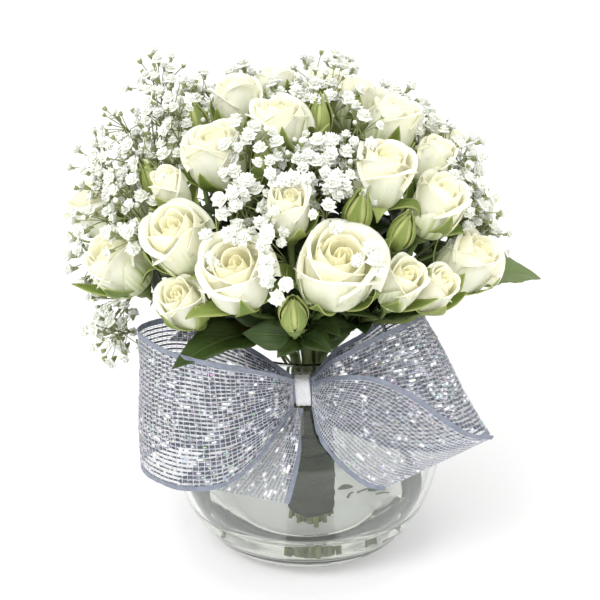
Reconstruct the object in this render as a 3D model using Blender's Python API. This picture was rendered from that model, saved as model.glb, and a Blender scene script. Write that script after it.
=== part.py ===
"""Table centrepiece: a hand-tied bouquet of ivory spray roses and baby's breath. Its stems are bound
with florist's tape and stand in water in a round glass bowl, with a bow of mesh ribbon on the shoulder.

Lengths below are in millimetres; make_object() turns them into metres. +Z is up, the origin is the
middle of the bowl's flat foot, and the bow faces -Y.
"""

import math
import random

import bpy
import numpy as np
from mathutils import Matrix, Vector

MM = 0.001
GAP = 0.3  # clearance between two pieces that touch

# Bowl: a glass sphere flattened at the foot and open at the mouth
BOWL_RADIUS = 75.0
BOWL_MIDDLE = 57.0  # height of the widest level
FOOT_RADIUS = 36.0
MOUTH_RADIUS = 45.0
BOWL_HEIGHT = 121.0
WALL = 3.0
FLOOR = 10.0  # thickness of the glass under the water
WATER_LEVEL = 31.0
BOWL_SIDES = 24

# Bundle of stems: upright near the front of the bowl
BUNDLE_FOOT = Vector((3, -26, 13))
BUNDLE_NECK = Vector((1, -20, 110))
STEM_RING = 7.4  # radius of the ring of rose stems round the middle one
STEM_RADIUS = 2.2
SPRIG_RING = 11.0  # baby's breath stems lie round the outside
SPRIG_RADIUS = 0.8
TAPE_INNER = 12.2
TAPE_OUTER = 13.3
TAPE_SPAN = (0.09, 0.60)  # shares of the way from foot to neck

# Dome that the flower heads fill: a flattened sphere
DOME_MIDDLE = Vector((-8, 0, 165))
DOME_RADIUS = 100.0
DOME_RISE = 85.0
AIM = Vector((-3, -2, 118))  # the sprays spread away from this point
HEAD_AIM = Vector((-3, -2, 50))  # every rose faces away from this lower point, so it stands more upright

PETAL = 0.8  # thickness of a petal at its rim
PEDICEL_RADIUS = 1.3
HEAD_REACH = 0.55  # share of a head's length that lies inside the dome's surface
SEAT = 0.2  # radius of a head's seat over its own radius
BUD_STRETCH = 3.2  # a bud's length over its radius

# Each cut stem: its place in the ring round the middle stem (azimuth, or None in the middle), then
# its roses and buds as (azimuth, angle from the top, radius of the head), then its leaves as (azimuth,
# rise in degrees, share of the way out where it starts, stalk, length of the blade, droop over length).
STEMS = {
    "top": (
        None,
        [(-162, 16, 13.4), (121, 8, 10.8), (50, 17, 13.0), (1, 19, 11.1)],
        [(-65, 19, 7.0), (-165, 29, 6.5)],
        [],
    ),
    "front": (
        -90,
        [(-104, 75, 17.5), (-77, 73, 19.7), (-90, 55, 10.8), (-97, 25, 14.6)],
        [(-89, 85, 7.4)],
        [(-127, 26, 0.95, 25, 63, 0.30)],
    ),
    "front_right": (
        -42,
        [(-59, 80, 10.9), (-47, 85, 10.3), (-29, 82, 15.1), (-37, 60, 13.8), (-54, 46, 15.1)],
        [(-68, 56, 7.4), (-55, 64, 6.6)],
        [],
    ),
    "right": (
        8,
        [(-3, 71, 11.6), (-21, 48, 10.8), (-18, 32, 14.4), (5, 49, 13.0), (18, 30, 8.8)],
        [],
        [(8, 18, 0.8, 58, 52, 0.42)],
    ),
    "back_right": (
        58,
        [(35, 72, 17.0), (64, 50, 15.0), (62, 76, 17.0)],
        [(48, 92, 7.0)],
        [(50, 10, 0.5, 24, 50, 0.28)],
    ),
    "back": (
        102,
        [(90, 70, 17.0), (96, 48, 16.0), (118, 66, 17.0), (106, 88, 15.0)],
        [],
        [(82, 10, 0.5, 24, 50, 0.28)],
    ),
    "back_left": (
        162,
        [(146, 72, 17.0), (140, 50, 15.0), (-177, 71, 19.4)],
        [(164, 88, 7.0)],
        [(140, 8, 0.5, 26, 50, 0.28)],
    ),
    "front_left": (
        -138,
        [(-147, 81, 15.0), (-123, 67, 16.0), (-134, 53, 9.3), (-119, 86, 11.4), (-123, 39, 15.2)],
        [(-146, 52, 7.0), (-102, 38, 6.2)],
        [(-172, 16, 0.6, 18, 46, 0.28)],
    ),
}

# Baby's breath: (azimuth of its slot in the bundle, azimuth and angle from the top of the middle of
# the spray, its spread in degrees, number of florets, how far the furthest stands clear of the roses)
SPRAYS = {
    "left_cloud": (-174, -176, 50, 28, 13, 30),
    "left_low": (-162, -166, 92, 24, 6, 12),
    "left": (-120, -152, 64, 22, 6, 14),
    "front": (-108, -106, 48, 26, 9, 12),
    "front_middle": (-66, -72, 40, 24, 8, 12),
    "right_low": (-23, -40, 72, 24, 7, 12),
    "right": (-11, -10, 60, 22, 7, 14),
    "right_top": (33, 14, 38, 24, 8, 18),
    "back_right": (80, 74, 60, 30, 8, 20),
    "back_left": (126, 128, 58, 30, 8, 20),
    "top": (138, 160, 8, 26, 7, 10),
}

# Bow: rows of (lower edge, upper edge) across the ribbon, from the knot outwards
KNOT = Vector((-2, -60.0, 114.5))
KNOT_SIZE = (7.6, 11.0, 15.0)
RIBBON = 0.8
LOOP_LEFT = [
    ((-6.7, -64, 108), (-6.7, -64, 121)), ((-13, -76, 101), (-14, -77, 130)),
    ((-24, -87, 90), (-28, -89, 139)), ((-40, -94, 81), (-43, -98, 146)),
    ((-60, -91, 77), (-62, -90, 147)), ((-76, -80, 76), (-76, -75, 147)),
    ((-84, -66, 76), (-82, -63, 147)), ((-80, -55, 77), (-77, -52, 147)),
    ((-66, -50, 78), (-62, -45, 146)), ((-46, -62, 84), (-42, -50, 140)),
    ((-24, -67, 96), (-22, -55, 130)), ((-6.7, -60, 108), (-6.7, -59, 120)),
]
LOOP_RIGHT = [
    ((2.7, -62.5, 108), (2.7, -62.5, 121)), ((10, -68, 102), (9, -66, 130)),
    ((22, -72, 98), (19, -68, 137)), ((40, -77, 93), (32, -66, 144)),
    ((62, -80, 92), (46, -59, 148)), ((80, -78, 95), (54, -54, 151)),
    ((89, -73, 98), (57, -50, 152)), ((82, -65, 97), (52, -44, 152)),
    ((64, -60, 95), (41, -42, 147)), ((42, -60, 97), (27, -48.5, 138.5)),
    ((20, -62, 102), (14, -54, 133)), ((2.7, -59, 109), (2.7, -58, 120)),
]
TAIL_LEFT = [
    ((-8, -63.5, 106.2), (-3, -63.5, 106.2)), ((-18, -71, 98), (-3, -69, 98)),
    ((-33, -74, 91), (-4, -73, 85)), ((-49, -77, 82), (-7, -78, 72)),
    ((-63, -79, 73), (-10, -79, 61)),
]
TAIL_RIGHT = [
    ((2.7, -66, 108), (2.7, -66, 120)), ((6, -71, 99), (12, -74, 127)),
    ((9, -74, 92), (31, -85, 132)), ((15, -79, 85), (49, -93, 127)),
    ((22, -83, 80), (66, -96, 115)), ((30, -86, 76), (77, -95, 108)),
    ((38, -88, 75), (88, -92, 105)),
]

IVORY = ("ivory_petal", (0.93, 0.90, 0.74), 0.5, 0.0)
GREEN = ("rose_green", (0.20, 0.33, 0.08), 0.5, 0.0)
SPRIG = ("sprig_white", (0.90, 0.92, 0.86), 0.6, 0.0)
GLASS = ("clear_glass", (0.93, 0.97, 0.96), 0.03, 0.0)
WATER = ("water", (0.90, 0.96, 0.97), 0.02, 0.0)
TAPE = ("green_tape", (0.22, 0.29, 0.22), 0.8, 0.0)
MESH = ("silver_mesh", (0.60, 0.62, 0.68), 0.35, 0.6)
SATIN = ("white_satin", (0.90, 0.90, 0.91), 0.4, 0.0)


# ---------------------------------------------------------------- scene and objects

def clear_scene():
    for old in list(bpy.data.objects):
        bpy.data.objects.remove(old, do_unlink=True)


def material(spec):
    name, colour, roughness, metallic = spec
    made = bpy.data.materials.get(name)
    if made is None:
        made = bpy.data.materials.new(name)
        made.use_nodes = True
        shader = made.node_tree.nodes["Principled BSDF"]
        shader.inputs["Base Color"].default_value = (*colour, 1.0)
        shader.inputs["Roughness"].default_value = roughness
        shader.inputs["Metallic"].default_value = metallic
    return made


def make_object(name, solid, spec, smooth=False):
    """One mesh object from (points in mm, faces)."""
    points, faces = solid
    mesh = bpy.data.meshes.new(name)
    mesh.from_pydata([Vector(p) * MM for p in points], [], faces)
    mesh.materials.append(material(spec))
    if smooth:
        mesh.polygons.foreach_set("use_smooth", [True] * len(mesh.polygons))
    made = bpy.data.objects.new(name, mesh)
    bpy.context.scene.collection.objects.link(made)
    return made


def applied(obj):
    """The object with its modifiers made part of its mesh."""
    bpy.context.view_layer.update()
    graph = bpy.context.evaluated_depsgraph_get()
    mesh = bpy.data.meshes.new_from_object(obj.evaluated_get(graph))
    obj.modifiers.clear()
    obj.data = mesh
    return obj


def fuse(name, solids, spec):
    """One object whose solids are joined by a single Boolean union."""
    body = make_object(name, solids[0], spec)
    if len(solids) == 1:
        return body
    others = bpy.data.collections.new(name + "_parts")
    for number, solid in enumerate(solids[1:]):
        part = make_object(f"{name}_part_{number}", solid, spec)
        bpy.context.scene.collection.objects.unlink(part)
        others.objects.link(part)
    bpy.context.scene.collection.children.link(others)
    union = body.modifiers.new("join", "BOOLEAN")
    union.operation = "UNION"
    union.operand_type = "COLLECTION"
    union.collection = others
    union.solver = "MANIFOLD"
    applied(body)
    for part in list(others.objects):
        bpy.data.objects.remove(part, do_unlink=True)
    bpy.data.collections.remove(others)
    return body


def cut(obj, cutter):
    """obj less the cutter solid."""
    tool = make_object(obj.name + "_cutter", cutter, GLASS)
    tool.hide_render = True
    tool.display_type = "WIRE"
    take = obj.modifiers.new("cut", "BOOLEAN")
    take.operation = "DIFFERENCE"
    take.object = tool
    take.solver = "MANIFOLD"
    applied(obj)
    bpy.data.objects.remove(tool, do_unlink=True)
    return obj


# ---------------------------------------------------------------- geometry helpers

def polar(azimuth, angle):
    """Unit vector; angle is measured from straight up, both in degrees."""
    a, t = math.radians(azimuth), math.radians(angle)
    return Vector((math.sin(t) * math.cos(a), math.sin(t) * math.sin(a), math.cos(t)))


def on_dome(azimuth, angle, reach=1.0):
    d = polar(azimuth, angle)
    return DOME_MIDDLE + Vector((d.x * DOME_RADIUS, d.y * DOME_RADIUS, d.z * DOME_RISE)) * reach


def frame(origin, axis, roll=0.0):
    """Matrix that carries local +Z onto axis, with its origin there."""
    turn = axis.to_track_quat("Z", "Y").to_matrix().to_4x4()
    return Matrix.Translation(origin) @ turn @ Matrix.Rotation(math.radians(roll), 4, "Z")


def moved(solid, matrix):
    points, faces = solid
    return [matrix @ Vector(p) for p in points], faces


def bezier(start, lead, trail, end, steps):
    """Points on a cubic curve from start to end that leaves along lead and arrives along trail."""
    a, b = start + lead, end - trail
    line = []
    for k in range(steps + 1):
        t = k / steps
        s = 1 - t
        line.append(start * s**3 + a * (3 * s * s * t) + b * (3 * s * t * t) + end * t**3)
    return line


def smooth_line(points, steps):
    """Catmull-Rom curve through points, with steps spans between each two."""
    ends = [points[0] * 2 - points[1]] + list(points) + [points[-1] * 2 - points[-2]]
    line = []
    for k in range(1, len(ends) - 2):
        p0, p1, p2, p3 = ends[k - 1:k + 3]
        for j in range(steps):
            t = j / steps
            line.append(0.5 * (2 * p1 + (p2 - p0) * t + (2 * p0 - 5 * p1 + 4 * p2 - p3) * t * t
                               + (3 * p1 - p0 - 3 * p2 + p3) * t**3))
    line.append(points[-1])
    return line


def between_rings(rings, sides):
    """Triangles that join rings of points, and a polygon over each end."""
    faces = []
    for k in range(rings - 1):
        for j in range(sides):
            a, b = k * sides + j, k * sides + (j + 1) % sides
            faces += [(a, b, b + sides), (a, b + sides, a + sides)]
    last = (rings - 1) * sides
    faces.append(tuple(reversed(range(sides))))
    faces.append(tuple(range(last, last + sides)))
    return faces


def lathe(profile, sides):
    """Closed solid from (radius, height) points, bottom to top, turned round Z."""
    points = []
    for radius, height in profile:
        for j in range(sides):
            a = math.tau * j / sides
            points.append((radius * math.cos(a), radius * math.sin(a), height))
    return points, between_rings(len(profile), sides)


def tube(line, radii, sides):
    """Closed tube along a line of points; radii is one number or one for each point."""
    if not isinstance(radii, (list, tuple)):
        radii = [radii] * len(line)
    side = (line[1] - line[0]).orthogonal().normalized()
    points = []
    for k, here in enumerate(line):
        before, after = line[max(k - 1, 0)], line[min(k + 1, len(line) - 1)]
        ahead = (after - before).normalized()
        side = (side - ahead * side.dot(ahead)).normalized()
        across = ahead.cross(side)
        for j in range(sides):
            a = math.tau * j / sides
            points.append(here + (side * math.cos(a) + across * math.sin(a)) * radii[k])
    return points, between_rings(len(line), sides)


def slab(grid, thickness):
    """Closed sheet of even thickness over a grid of points (rows of equal length)."""
    rows, cols = len(grid), len(grid[0])
    front, back = [], []
    for r in range(rows):
        for c in range(cols):
            along = grid[min(r + 1, rows - 1)][c] - grid[max(r - 1, 0)][c]
            across = grid[r][min(c + 1, cols - 1)] - grid[r][max(c - 1, 0)]
            off = along.cross(across).normalized() * thickness / 2
            front.append(grid[r][c] + off)
            back.append(grid[r][c] - off)
    second = rows * cols
    faces = []
    for r in range(rows - 1):
        for c in range(cols - 1):
            a, b = r * cols + c, r * cols + c + 1
            d, e = a + cols, b + cols
            faces += [(a, e, b), (a, d, e)]
            faces += [(second + a, second + b, second + e), (second + a, second + e, second + d)]
    rim = list(range(cols))
    rim += [r * cols + cols - 1 for r in range(1, rows)]
    rim += [(rows - 1) * cols + c for c in range(cols - 2, -1, -1)]
    rim += [r * cols for r in range(rows - 2, 0, -1)]
    for k, a in enumerate(rim):
        b = rim[(k + 1) % len(rim)]
        faces += [(a, b, second + b), (a, second + b, second + a)]
    return front + back, faces


# ---------------------------------------------------------------- what is already in place

class Crowd:
    """Balls that stand for everything planted so far, so that later stems can be led past it."""

    def __init__(self):
        self.middles, self.radii = [], []

    def add(self, points, radii):
        if not isinstance(radii, (list, tuple)):
            radii = [radii] * len(points)
        self.middles += [tuple(p) for p in points]
        self.radii += list(radii)

    def room(self, points):
        """Least distance from the points to anything planted."""
        if not self.middles:
            return 1000.0
        a = np.array([tuple(p) for p in points])
        apart = np.linalg.norm(a[:, None, :] - np.array(self.middles)[None], axis=2)
        return float((apart - np.array(self.radii)[None]).min())


def spaced(line, step=2.0):
    """Points about a step apart along a line."""
    points = []
    for a, b in zip(line, line[1:]):
        count = max(1, round((b - a).length / step))
        points += [a.lerp(b, k / count) for k in range(count)]
    return points + [line[-1]]


# ---------------------------------------------------------------- bowl, water, tape

def glass_arc(radius, low, high, steps):
    """Points (r, z) on the bowl's sphere of this radius between two heights."""
    a = math.asin((low - BOWL_MIDDLE) / radius)
    b = math.asin((high - BOWL_MIDDLE) / radius)
    angles = [a + (b - a) * k / steps for k in range(steps + 1)]
    return [(radius * math.cos(t), BOWL_MIDDLE + radius * math.sin(t)) for t in angles]


def bowl_inside():
    """Inside of the bowl as (r, z), from the flat floor up its rounded corner and the wall."""
    lip = BOWL_MIDDLE + math.sqrt(BOWL_RADIUS**2 - MOUTH_RADIUS**2)
    return [(38.0, FLOOR), (49.0, FLOOR + 1.6)] + glass_arc(BOWL_RADIUS - WALL, FLOOR + 6, lip - 1.0, 6)


def glass_bowl():
    lip = BOWL_MIDDLE + math.sqrt(BOWL_RADIUS**2 - MOUTH_RADIUS**2)
    outside = [(FOOT_RADIUS, 0), (45.0, 2.0)] + glass_arc(BOWL_RADIUS, 7.0, lip, 6)
    rim = [(MOUTH_RADIUS, BOWL_HEIGHT - 0.8), (MOUTH_RADIUS - WALL / 2, BOWL_HEIGHT),
           (MOUTH_RADIUS - WALL, BOWL_HEIGHT - 0.8)]
    return make_object("glass_bowl", lathe(outside + rim + bowl_inside()[::-1], BOWL_SIDES), GLASS, smooth=True)


def water_body():
    profile = []
    for (r, z), (r_next, z_next) in zip(bowl_inside(), bowl_inside()[1:]):
        profile.append((r - 1.2 * GAP, z + GAP))
        if z_next > WATER_LEVEL:
            profile.append((r + (r_next - r) * (WATER_LEVEL - z) / (z_next - z) - 1.2 * GAP, WATER_LEVEL))
            break
    body = make_object("water", lathe(profile, BOWL_SIDES), WATER, smooth=True)
    ends = [along_bundle(-0.2), along_bundle(0.8)]
    return cut(body, tube(ends, TAPE_OUTER + 0.5, 18))


def along_bundle(share, ring=0.0, azimuth=0.0):
    """Point in the bundle, at a share of the way from its foot to its neck."""
    a = math.radians(azimuth)
    off = Vector((ring * math.cos(a), ring * math.sin(a), 0))
    return BUNDLE_FOOT.lerp(BUNDLE_NECK, share) + off


def tape_wrap():
    low, high = TAPE_SPAN
    shares = [low + (high - low) * k / 6 for k in range(7)]
    waves = [0.0, 0.3, 0.0, 0.25, 0.0, 0.3, 0.0]
    outer = [TAPE_OUTER - 0.3 + w for w in waves]
    body = make_object("floral_tape", tube([along_bundle(s) for s in shares], outer, 18), TAPE)
    bore = tube([along_bundle(low - 0.1), along_bundle(high + 0.1)], TAPE_INNER, 18)
    return cut(body, bore)


# ---------------------------------------------------------------- roses

def head_length(radius):
    return 15.0 + radius


def head_seat(azimuth, angle, length):
    """(seat of the head on its calyx, the way it faces)"""
    middle = on_dome(azimuth, angle)
    facing = (middle - HEAD_AIM).normalized()
    return middle - facing * length * HEAD_REACH, facing


def whorl(crest, notch, lobes, sides, turn):
    """Ring of (radius, height) pairs that rises to crest on each petal and falls to notch between."""
    run = sides // lobes
    return [notch if (j + turn) % run == 0 else crest for j in range(sides)]


def rose_head(name, azimuth, angle, radius, roll):
    """A head in whorls: an outer cup of rolled petals, an inner whorl and a furled heart."""
    length = head_length(radius)
    seat, facing = head_seat(azimuth, angle, length)
    lip = PETAL / radius
    large = radius > 12.5
    sides = 12 if large else 9
    rings = [[(SEAT, 0.0)] * sides, [(0.70, 0.18)] * sides,
             whorl((0.98, 0.52), (0.90, 0.48), sides // 3, sides, 0),
             whorl((1.0, 0.86), (0.90, 0.68), sides // 3, sides, 0),
             whorl((1.0 - lip, 0.89), (0.88 - lip, 0.69), sides // 3, sides, 0)]
    if large:
        rings += [[(0.70, 0.60)] * sides,
                  whorl((0.62, 0.98), (0.54, 0.78), 3, sides, 2),
                  [(0.38, 0.72)] * sides, [(0.16, 1.0)] * sides]
    else:
        rings += [[(0.62, 0.64)] * sides, [(0.22, 1.0)] * sides]
    points = []
    for ring in rings:
        for j, (rho, z) in enumerate(ring):
            a = math.tau * j / sides
            points.append(Vector((rho * math.cos(a), rho * math.sin(a), 0)) * radius
                          + Vector((0, 0, z * length)))
    solid = points, between_rings(len(rings), sides)
    return make_object("rose_" + name, moved(solid, frame(seat, facing, roll)), IVORY)


def calyx_stalk(line, seat, facing, radius, length):
    """Pedicel that swells under the head and parts into five sepals a little clear of the petals."""
    cup = (SEAT * radius + 1.5) / math.cos(math.pi / 5)
    line = line + [seat - facing * 5.5, seat - facing * GAP]
    radii = [PEDICEL_RADIUS] * (len(line) - 2) + [0.72 * cup, cup]
    points, faces = tube(line, radii, 5)
    faces.pop()
    top = line[-1]
    first = len(points) - 5
    inner = []
    for j in range(5):
        a, b = first + j, first + (j + 1) % 5
        out = ((points[a] + points[b]) / 2 - top).normalized()
        across = facing.cross(out)
        middle = top + out * (0.70 * radius + 0.9) + facing * (0.18 * length - 0.5)
        tip = top + out * (0.92 * radius + 1.6) + facing * (0.46 * length)
        points.append(top + out * (SEAT * radius + 0.6))
        points += [middle + out * 0.9 - across * 1.8, middle + out * 0.9 + across * 1.8, middle, tip]
        root, low, high, back, end = range(len(points) - 5, len(points))
        inner.append(root)
        faces += [(a, b, high), (a, high, low), (low, high, end)]
        faces += [(b, root, back), (b, back, high), (high, back, end)]
        faces += [(root, a, low), (root, low, back), (back, low, end)]
    for j in range(5):
        faces.append((first + (j + 1) % 5, inner[(j + 1) % 5], inner[j]))
    faces.append(tuple(inner))
    return points, faces


def bud_stalk(line, seat, facing, radius, length):
    """Pedicel that ends in a closed green bud, its five sepals still wrapped to a point."""
    shape = [(0.45, 0.0), (0.95, 0.22), (1.0, 0.40), (0.66, 0.70), (0.16, 1.0)]
    line = line[:-1] + [seat + facing * length * z for _, z in shape]
    radii = [PEDICEL_RADIUS] * (len(line) - len(shape)) + [radius * r for r, _ in shape]
    return tube(line, radii, 5)


# ---------------------------------------------------------------- leaves and cut stems

def leaf(length, droop, segments=5):
    """Toothed leaf along +X from the origin, arched, with both halves folded up from the midrib."""
    half = 0.2 * length

    def point(t, side, out):
        lift = 0.30 * out + 0.06 * length * math.sin(math.pi * t) - droop * length * t * t
        return Vector((length * (t - 0.08 * t * t), side * out, lift))

    def width(t):
        return half * math.sin(math.pi * min(1.0, t**0.85)) + 0.02

    flat = []
    for k in range(segments + 1):
        t = k / segments
        out = 0.88 * width(t) + 0.5
        flat += [point(t, 0, 0), point(t, 1, out), point(t, -1, out)]
    tooth = len(flat)
    for k in range(segments):
        t = (k + 0.82) / segments
        out = 1.04 * width(t) + 0.8
        flat += [point(t, 1, out), point(t, -1, out)]
    count = len(flat)
    drop = Vector((0, 0, 0.4))
    points = [p + drop for p in flat] + [p - drop for p in flat]
    faces, rims = [], {1: [], 2: []}
    for k in range(segments):
        rib, rib_next = 3 * k, 3 * (k + 1)
        for side in (1, 2):
            edge, edge_next, point_out = rib + side, rib_next + side, tooth + 2 * k + side - 1
            for face in ((rib, edge, point_out), (rib, point_out, rib_next),
                         (rib_next, point_out, edge_next)):
                up = face if side == 2 else face[::-1]
                faces += [up, tuple(count + i for i in reversed(up))]
            rims[side] += [edge, point_out]
    loop = rims[2] + [3 * segments + 2, 3 * segments, 3 * segments + 1] + rims[1][::-1] + [0]
    for k, a in enumerate(loop):
        b = loop[(k + 1) % len(loop)]
        faces += [(b, a, count + a), (b, count + a, count + b)]
    return points, faces


def leafy_stem(name, azimuth, roses, buds, leaves, crowd):
    """A cut stem: up through the bundle, then out to a fork that carries its flowers and leaves."""
    ring, turn = (0.0, 0.0) if azimuth is None else (STEM_RING, azimuth)
    up = (BUNDLE_NECK - BUNDLE_FOOT).normalized()
    low = along_bundle(0, ring, turn)
    low += up * (FLOOR + GAP + 0.15 - low.z)
    neck = along_bundle(1, ring, turn)

    heads = [(r, head_length(r), head_seat(az, an, head_length(r)), calyx_stalk) for az, an, r in roses]
    heads += [(r, BUD_STRETCH * r, head_seat(az, an, BUD_STRETCH * r), bud_stalk) for az, an, r in buds]
    mean = sum((seat - neck for _, _, (seat, _), _ in heads), Vector()).normalized()
    fork = neck + mean * (50 if azimuth is None else 32)

    bend = bezier(neck, up * 12, mean * 12, fork, 3)
    trunk = [low, along_bundle(0.5, ring, turn)] + bend
    solids = [tube(trunk, [STEM_RADIUS] * 4 + [2.0, 1.9], 6)]
    crowd.add(spaced(bend), 2.3)
    for radius, length, (seat, facing), build in heads:
        foot = seat - facing * 9
        span = (foot - fork).length
        line = bezier(fork - mean * 2, mean * span * 0.45, facing * span * 0.18, foot, 2)
        solids.append(build(line, seat, facing, radius, length))
        crowd.add(spaced(line + [seat]), PEDICEL_RADIUS + 0.3)
        if build is calyx_stalk:
            crowd.add([seat + facing * length * z for z in (-0.1, 0.1, 0.3, 0.55, 0.8)],
                      [radius * r + 1.0 for r in (0.3, 0.5, 0.85, 1.0, 0.95)])
        else:
            crowd.add([seat + facing * length * z for z in (0.1, 0.35, 0.6, 0.9)],
                      [radius * r + 0.6 for r in (0.8, 1.0, 0.85, 0.4)])
    for az, rise, share, stalk, length, droop in leaves:
        out = polar(az, 90 - rise)
        root = bend[0].lerp(bend[1], share * 3) if share < 0.34 else bend[1].lerp(bend[2], share * 1.5 - 0.5)
        end = root + out * stalk
        solids.append(tube([root, end + out * 2], 0.9, 4))
        side = Vector((0, 0, 1)).cross(out).normalized()
        place = Matrix((out, side, out.cross(side))).transposed().to_4x4()
        blade = moved(leaf(length, droop), Matrix.Translation(end) @ place)
        solids.append(blade)
        crowd.add(spaced([root, end]), 1.2)
        crowd.add(blade[0], 4.5)
    return fuse("leafy_stem_" + name, solids, GREEN)


# ---------------------------------------------------------------- baby's breath

def floret(middle, facing, size):
    """Small open flower as an eight-sided button."""
    tip = [(0, 0, -1.1), (1, 0, 0), (0, 1, 0), (-1, 0, 0), (0, -1, 0), (0, 0, 0.6)]
    place = frame(middle, facing)
    points = [place @ (Vector(p) * size) for p in tip]
    faces = []
    for j in range(4):
        a, b = 1 + j, 1 + (j + 1) % 4
        faces += [(a, b, 5), (b, a, 0)]
    return points, faces


def sprig(name, turn, azimuth, angle, spread, count, stand, crowd):
    """One spray: a thin stem led up past the rose stems, then twigs that each end in a floret."""
    chance = random.Random(name)
    low, neck = along_bundle(0.03, SPRIG_RING, turn), along_bundle(1, SPRIG_RING, turn)
    up = (BUNDLE_NECK - BUNDLE_FOOT).normalized()

    best = None
    for _ in range(400):
        hub = on_dome(azimuth + chance.uniform(-20, 20), angle + chance.uniform(-14, 14),
                      chance.uniform(0.78, 0.95))
        away = (hub - AIM).normalized()
        line = bezier(neck, up * chance.uniform(6, 40), away * chance.uniform(10, 50), hub, 4)
        room = crowd.room(spaced(line)) - SPRIG_RADIUS
        if best is None or room > best[0]:
            best = room, line, hub, away
        if room > 1.0:
            break
    room, line, hub, away = best
    if room < 0.3:
        print("tight stem", name, round(room, 2))
    solids = [tube([low, along_bundle(0.5, SPRIG_RING, turn)] + line, SPRIG_RADIUS, 4)]

    ends, twigs = [], [line]
    for _ in range(900):
        if len(ends) == count:
            break
        a, t = chance.uniform(0, math.tau), spread * math.sqrt(chance.random())
        stretch = max(0.35, math.sin(math.radians(angle)))
        at = on_dome(azimuth + t * math.cos(a) / stretch, angle + t * math.sin(a), 1.0)
        out = (at - AIM).normalized()
        at += out * chance.uniform(2, stand)
        size = chance.uniform(1.9, 2.4)
        twig = bezier(hub - away * 1.5, away * 6, out * 8, at, 2)
        if crowd.room([at]) < size + 0.6 or crowd.room(spaced(twig)[3:]) < 0.9:
            continue
        if any((at - other).length < 8.5 for other in ends):
            continue
        ends.append(at)
        twigs.append(twig)
        solids += [tube(twig, [0.5, 0.45, 0.4], 3), floret(at + out * 0.4 * size, out, size)]
    for twig in twigs:
        crowd.add(spaced(twig), SPRIG_RADIUS)
    crowd.add(ends, 3.0)
    return fuse("gypsophila_" + name, solids, SPRIG)


# ---------------------------------------------------------------- bow

def ribbon(name, rows, folds=3, steps=2, deep=1.6, sign=1.0):
    """Band of mesh ribbon over rows of (lower, upper) edge points, pleated where it enters the knot."""
    lower = smooth_line([Vector(a) for a, _ in rows], steps)
    upper = smooth_line([Vector(b) for _, b in rows], steps)
    widest = max((b - a).length for a, b in zip(lower, upper))
    grid = []
    for k, (a, b) in enumerate(zip(lower, upper)):
        before, after = max(k - 1, 0), min(k + 1, len(lower) - 1)
        along = (lower[after] + upper[after] - lower[before] - upper[before]).normalized()
        off = along.cross(b - a).normalized() * sign
        gather = (1 - (b - a).length / widest) * deep * min(1.0, k / 2, (len(lower) - 1 - k) / 2)
        grid.append([a.lerp(b, c / folds) + off * gather * (-1) ** c for c in range(folds + 1)])
    return make_object(name, slab(grid, RIBBON), MESH, smooth=True)


def knot_band():
    """Short white band round the middle of the bow, rounded at its corners."""
    w, d, h = KNOT_SIZE
    ring = [(-0.5, -0.3), (-0.36, -0.5), (0.36, -0.5), (0.5, -0.3),
            (0.5, 0.3), (0.36, 0.5), (-0.36, 0.5), (-0.5, 0.3)]
    points = []
    for x in (-w / 2, 0.0, w / 2):
        swell = 1.0 if x else 1.03
        for y, z in ring:
            points.append(KNOT + Vector((x, y * d * swell, z * h * swell)))
    return make_object("knot_band", (points, between_rings(3, 8)), SATIN, smooth=True)


# ---------------------------------------------------------------- assembly

def main():
    clear_scene()
    glass_bowl()
    water_body()
    tape_wrap()
    knot_band()
    ribbon("bow_loop_left", LOOP_LEFT)
    ribbon("bow_loop_right", LOOP_RIGHT)
    ribbon("bow_tail_left", TAIL_LEFT)
    ribbon("bow_tail_right", TAIL_RIGHT)
    crowd = Crowd()
    for rows in (LOOP_LEFT, LOOP_RIGHT, TAIL_RIGHT):
        upper = [Vector(b) for _, b in rows]
        lower = [Vector(a) for a, _ in rows]
        for k in range(4):
            crowd.add(spaced([a.lerp(b, k / 4) for a, b in zip(upper, lower)], 5), 2.0)
    roll = 0
    for name, (azimuth, roses, buds, leaves) in STEMS.items():
        leafy_stem(name, azimuth, roses, buds, leaves, crowd)
        for number, (az, an, radius) in enumerate(roses):
            roll += 47
            rose_head(f"{name}_{number + 1}", az, an, radius, roll)
    for name, spray in SPRAYS.items():
        sprig(name, *spray, crowd)


main()
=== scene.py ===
"""Looks of the table centrepiece: a hand-tied bouquet of ivory spray roses and baby's breath in a
round glass bowl of water, with a bow of silver mesh ribbon on the bowl's shoulder.

Lengths are in millimetres up to Stock.piece() and ribbon(), which turn them into metres. Node trees,
lights and the camera are in metres. +Z is up and the bow faces -Y.
"""

import math
import random

import bpy
import numpy as np
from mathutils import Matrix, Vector


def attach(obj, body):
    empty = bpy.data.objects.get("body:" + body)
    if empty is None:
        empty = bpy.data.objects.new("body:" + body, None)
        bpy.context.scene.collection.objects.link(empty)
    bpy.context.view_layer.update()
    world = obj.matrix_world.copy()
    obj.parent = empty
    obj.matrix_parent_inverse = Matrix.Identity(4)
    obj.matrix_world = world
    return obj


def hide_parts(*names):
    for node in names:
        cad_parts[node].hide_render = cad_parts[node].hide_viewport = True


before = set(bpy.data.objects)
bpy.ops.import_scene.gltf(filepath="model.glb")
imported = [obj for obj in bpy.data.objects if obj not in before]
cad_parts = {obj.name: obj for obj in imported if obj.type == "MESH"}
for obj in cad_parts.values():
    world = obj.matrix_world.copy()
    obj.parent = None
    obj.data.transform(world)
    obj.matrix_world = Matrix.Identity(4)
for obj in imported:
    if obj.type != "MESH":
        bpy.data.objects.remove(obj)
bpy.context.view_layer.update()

MM = 0.001
GOLDEN = math.radians(137.5)  # turn from one petal to the next

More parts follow.
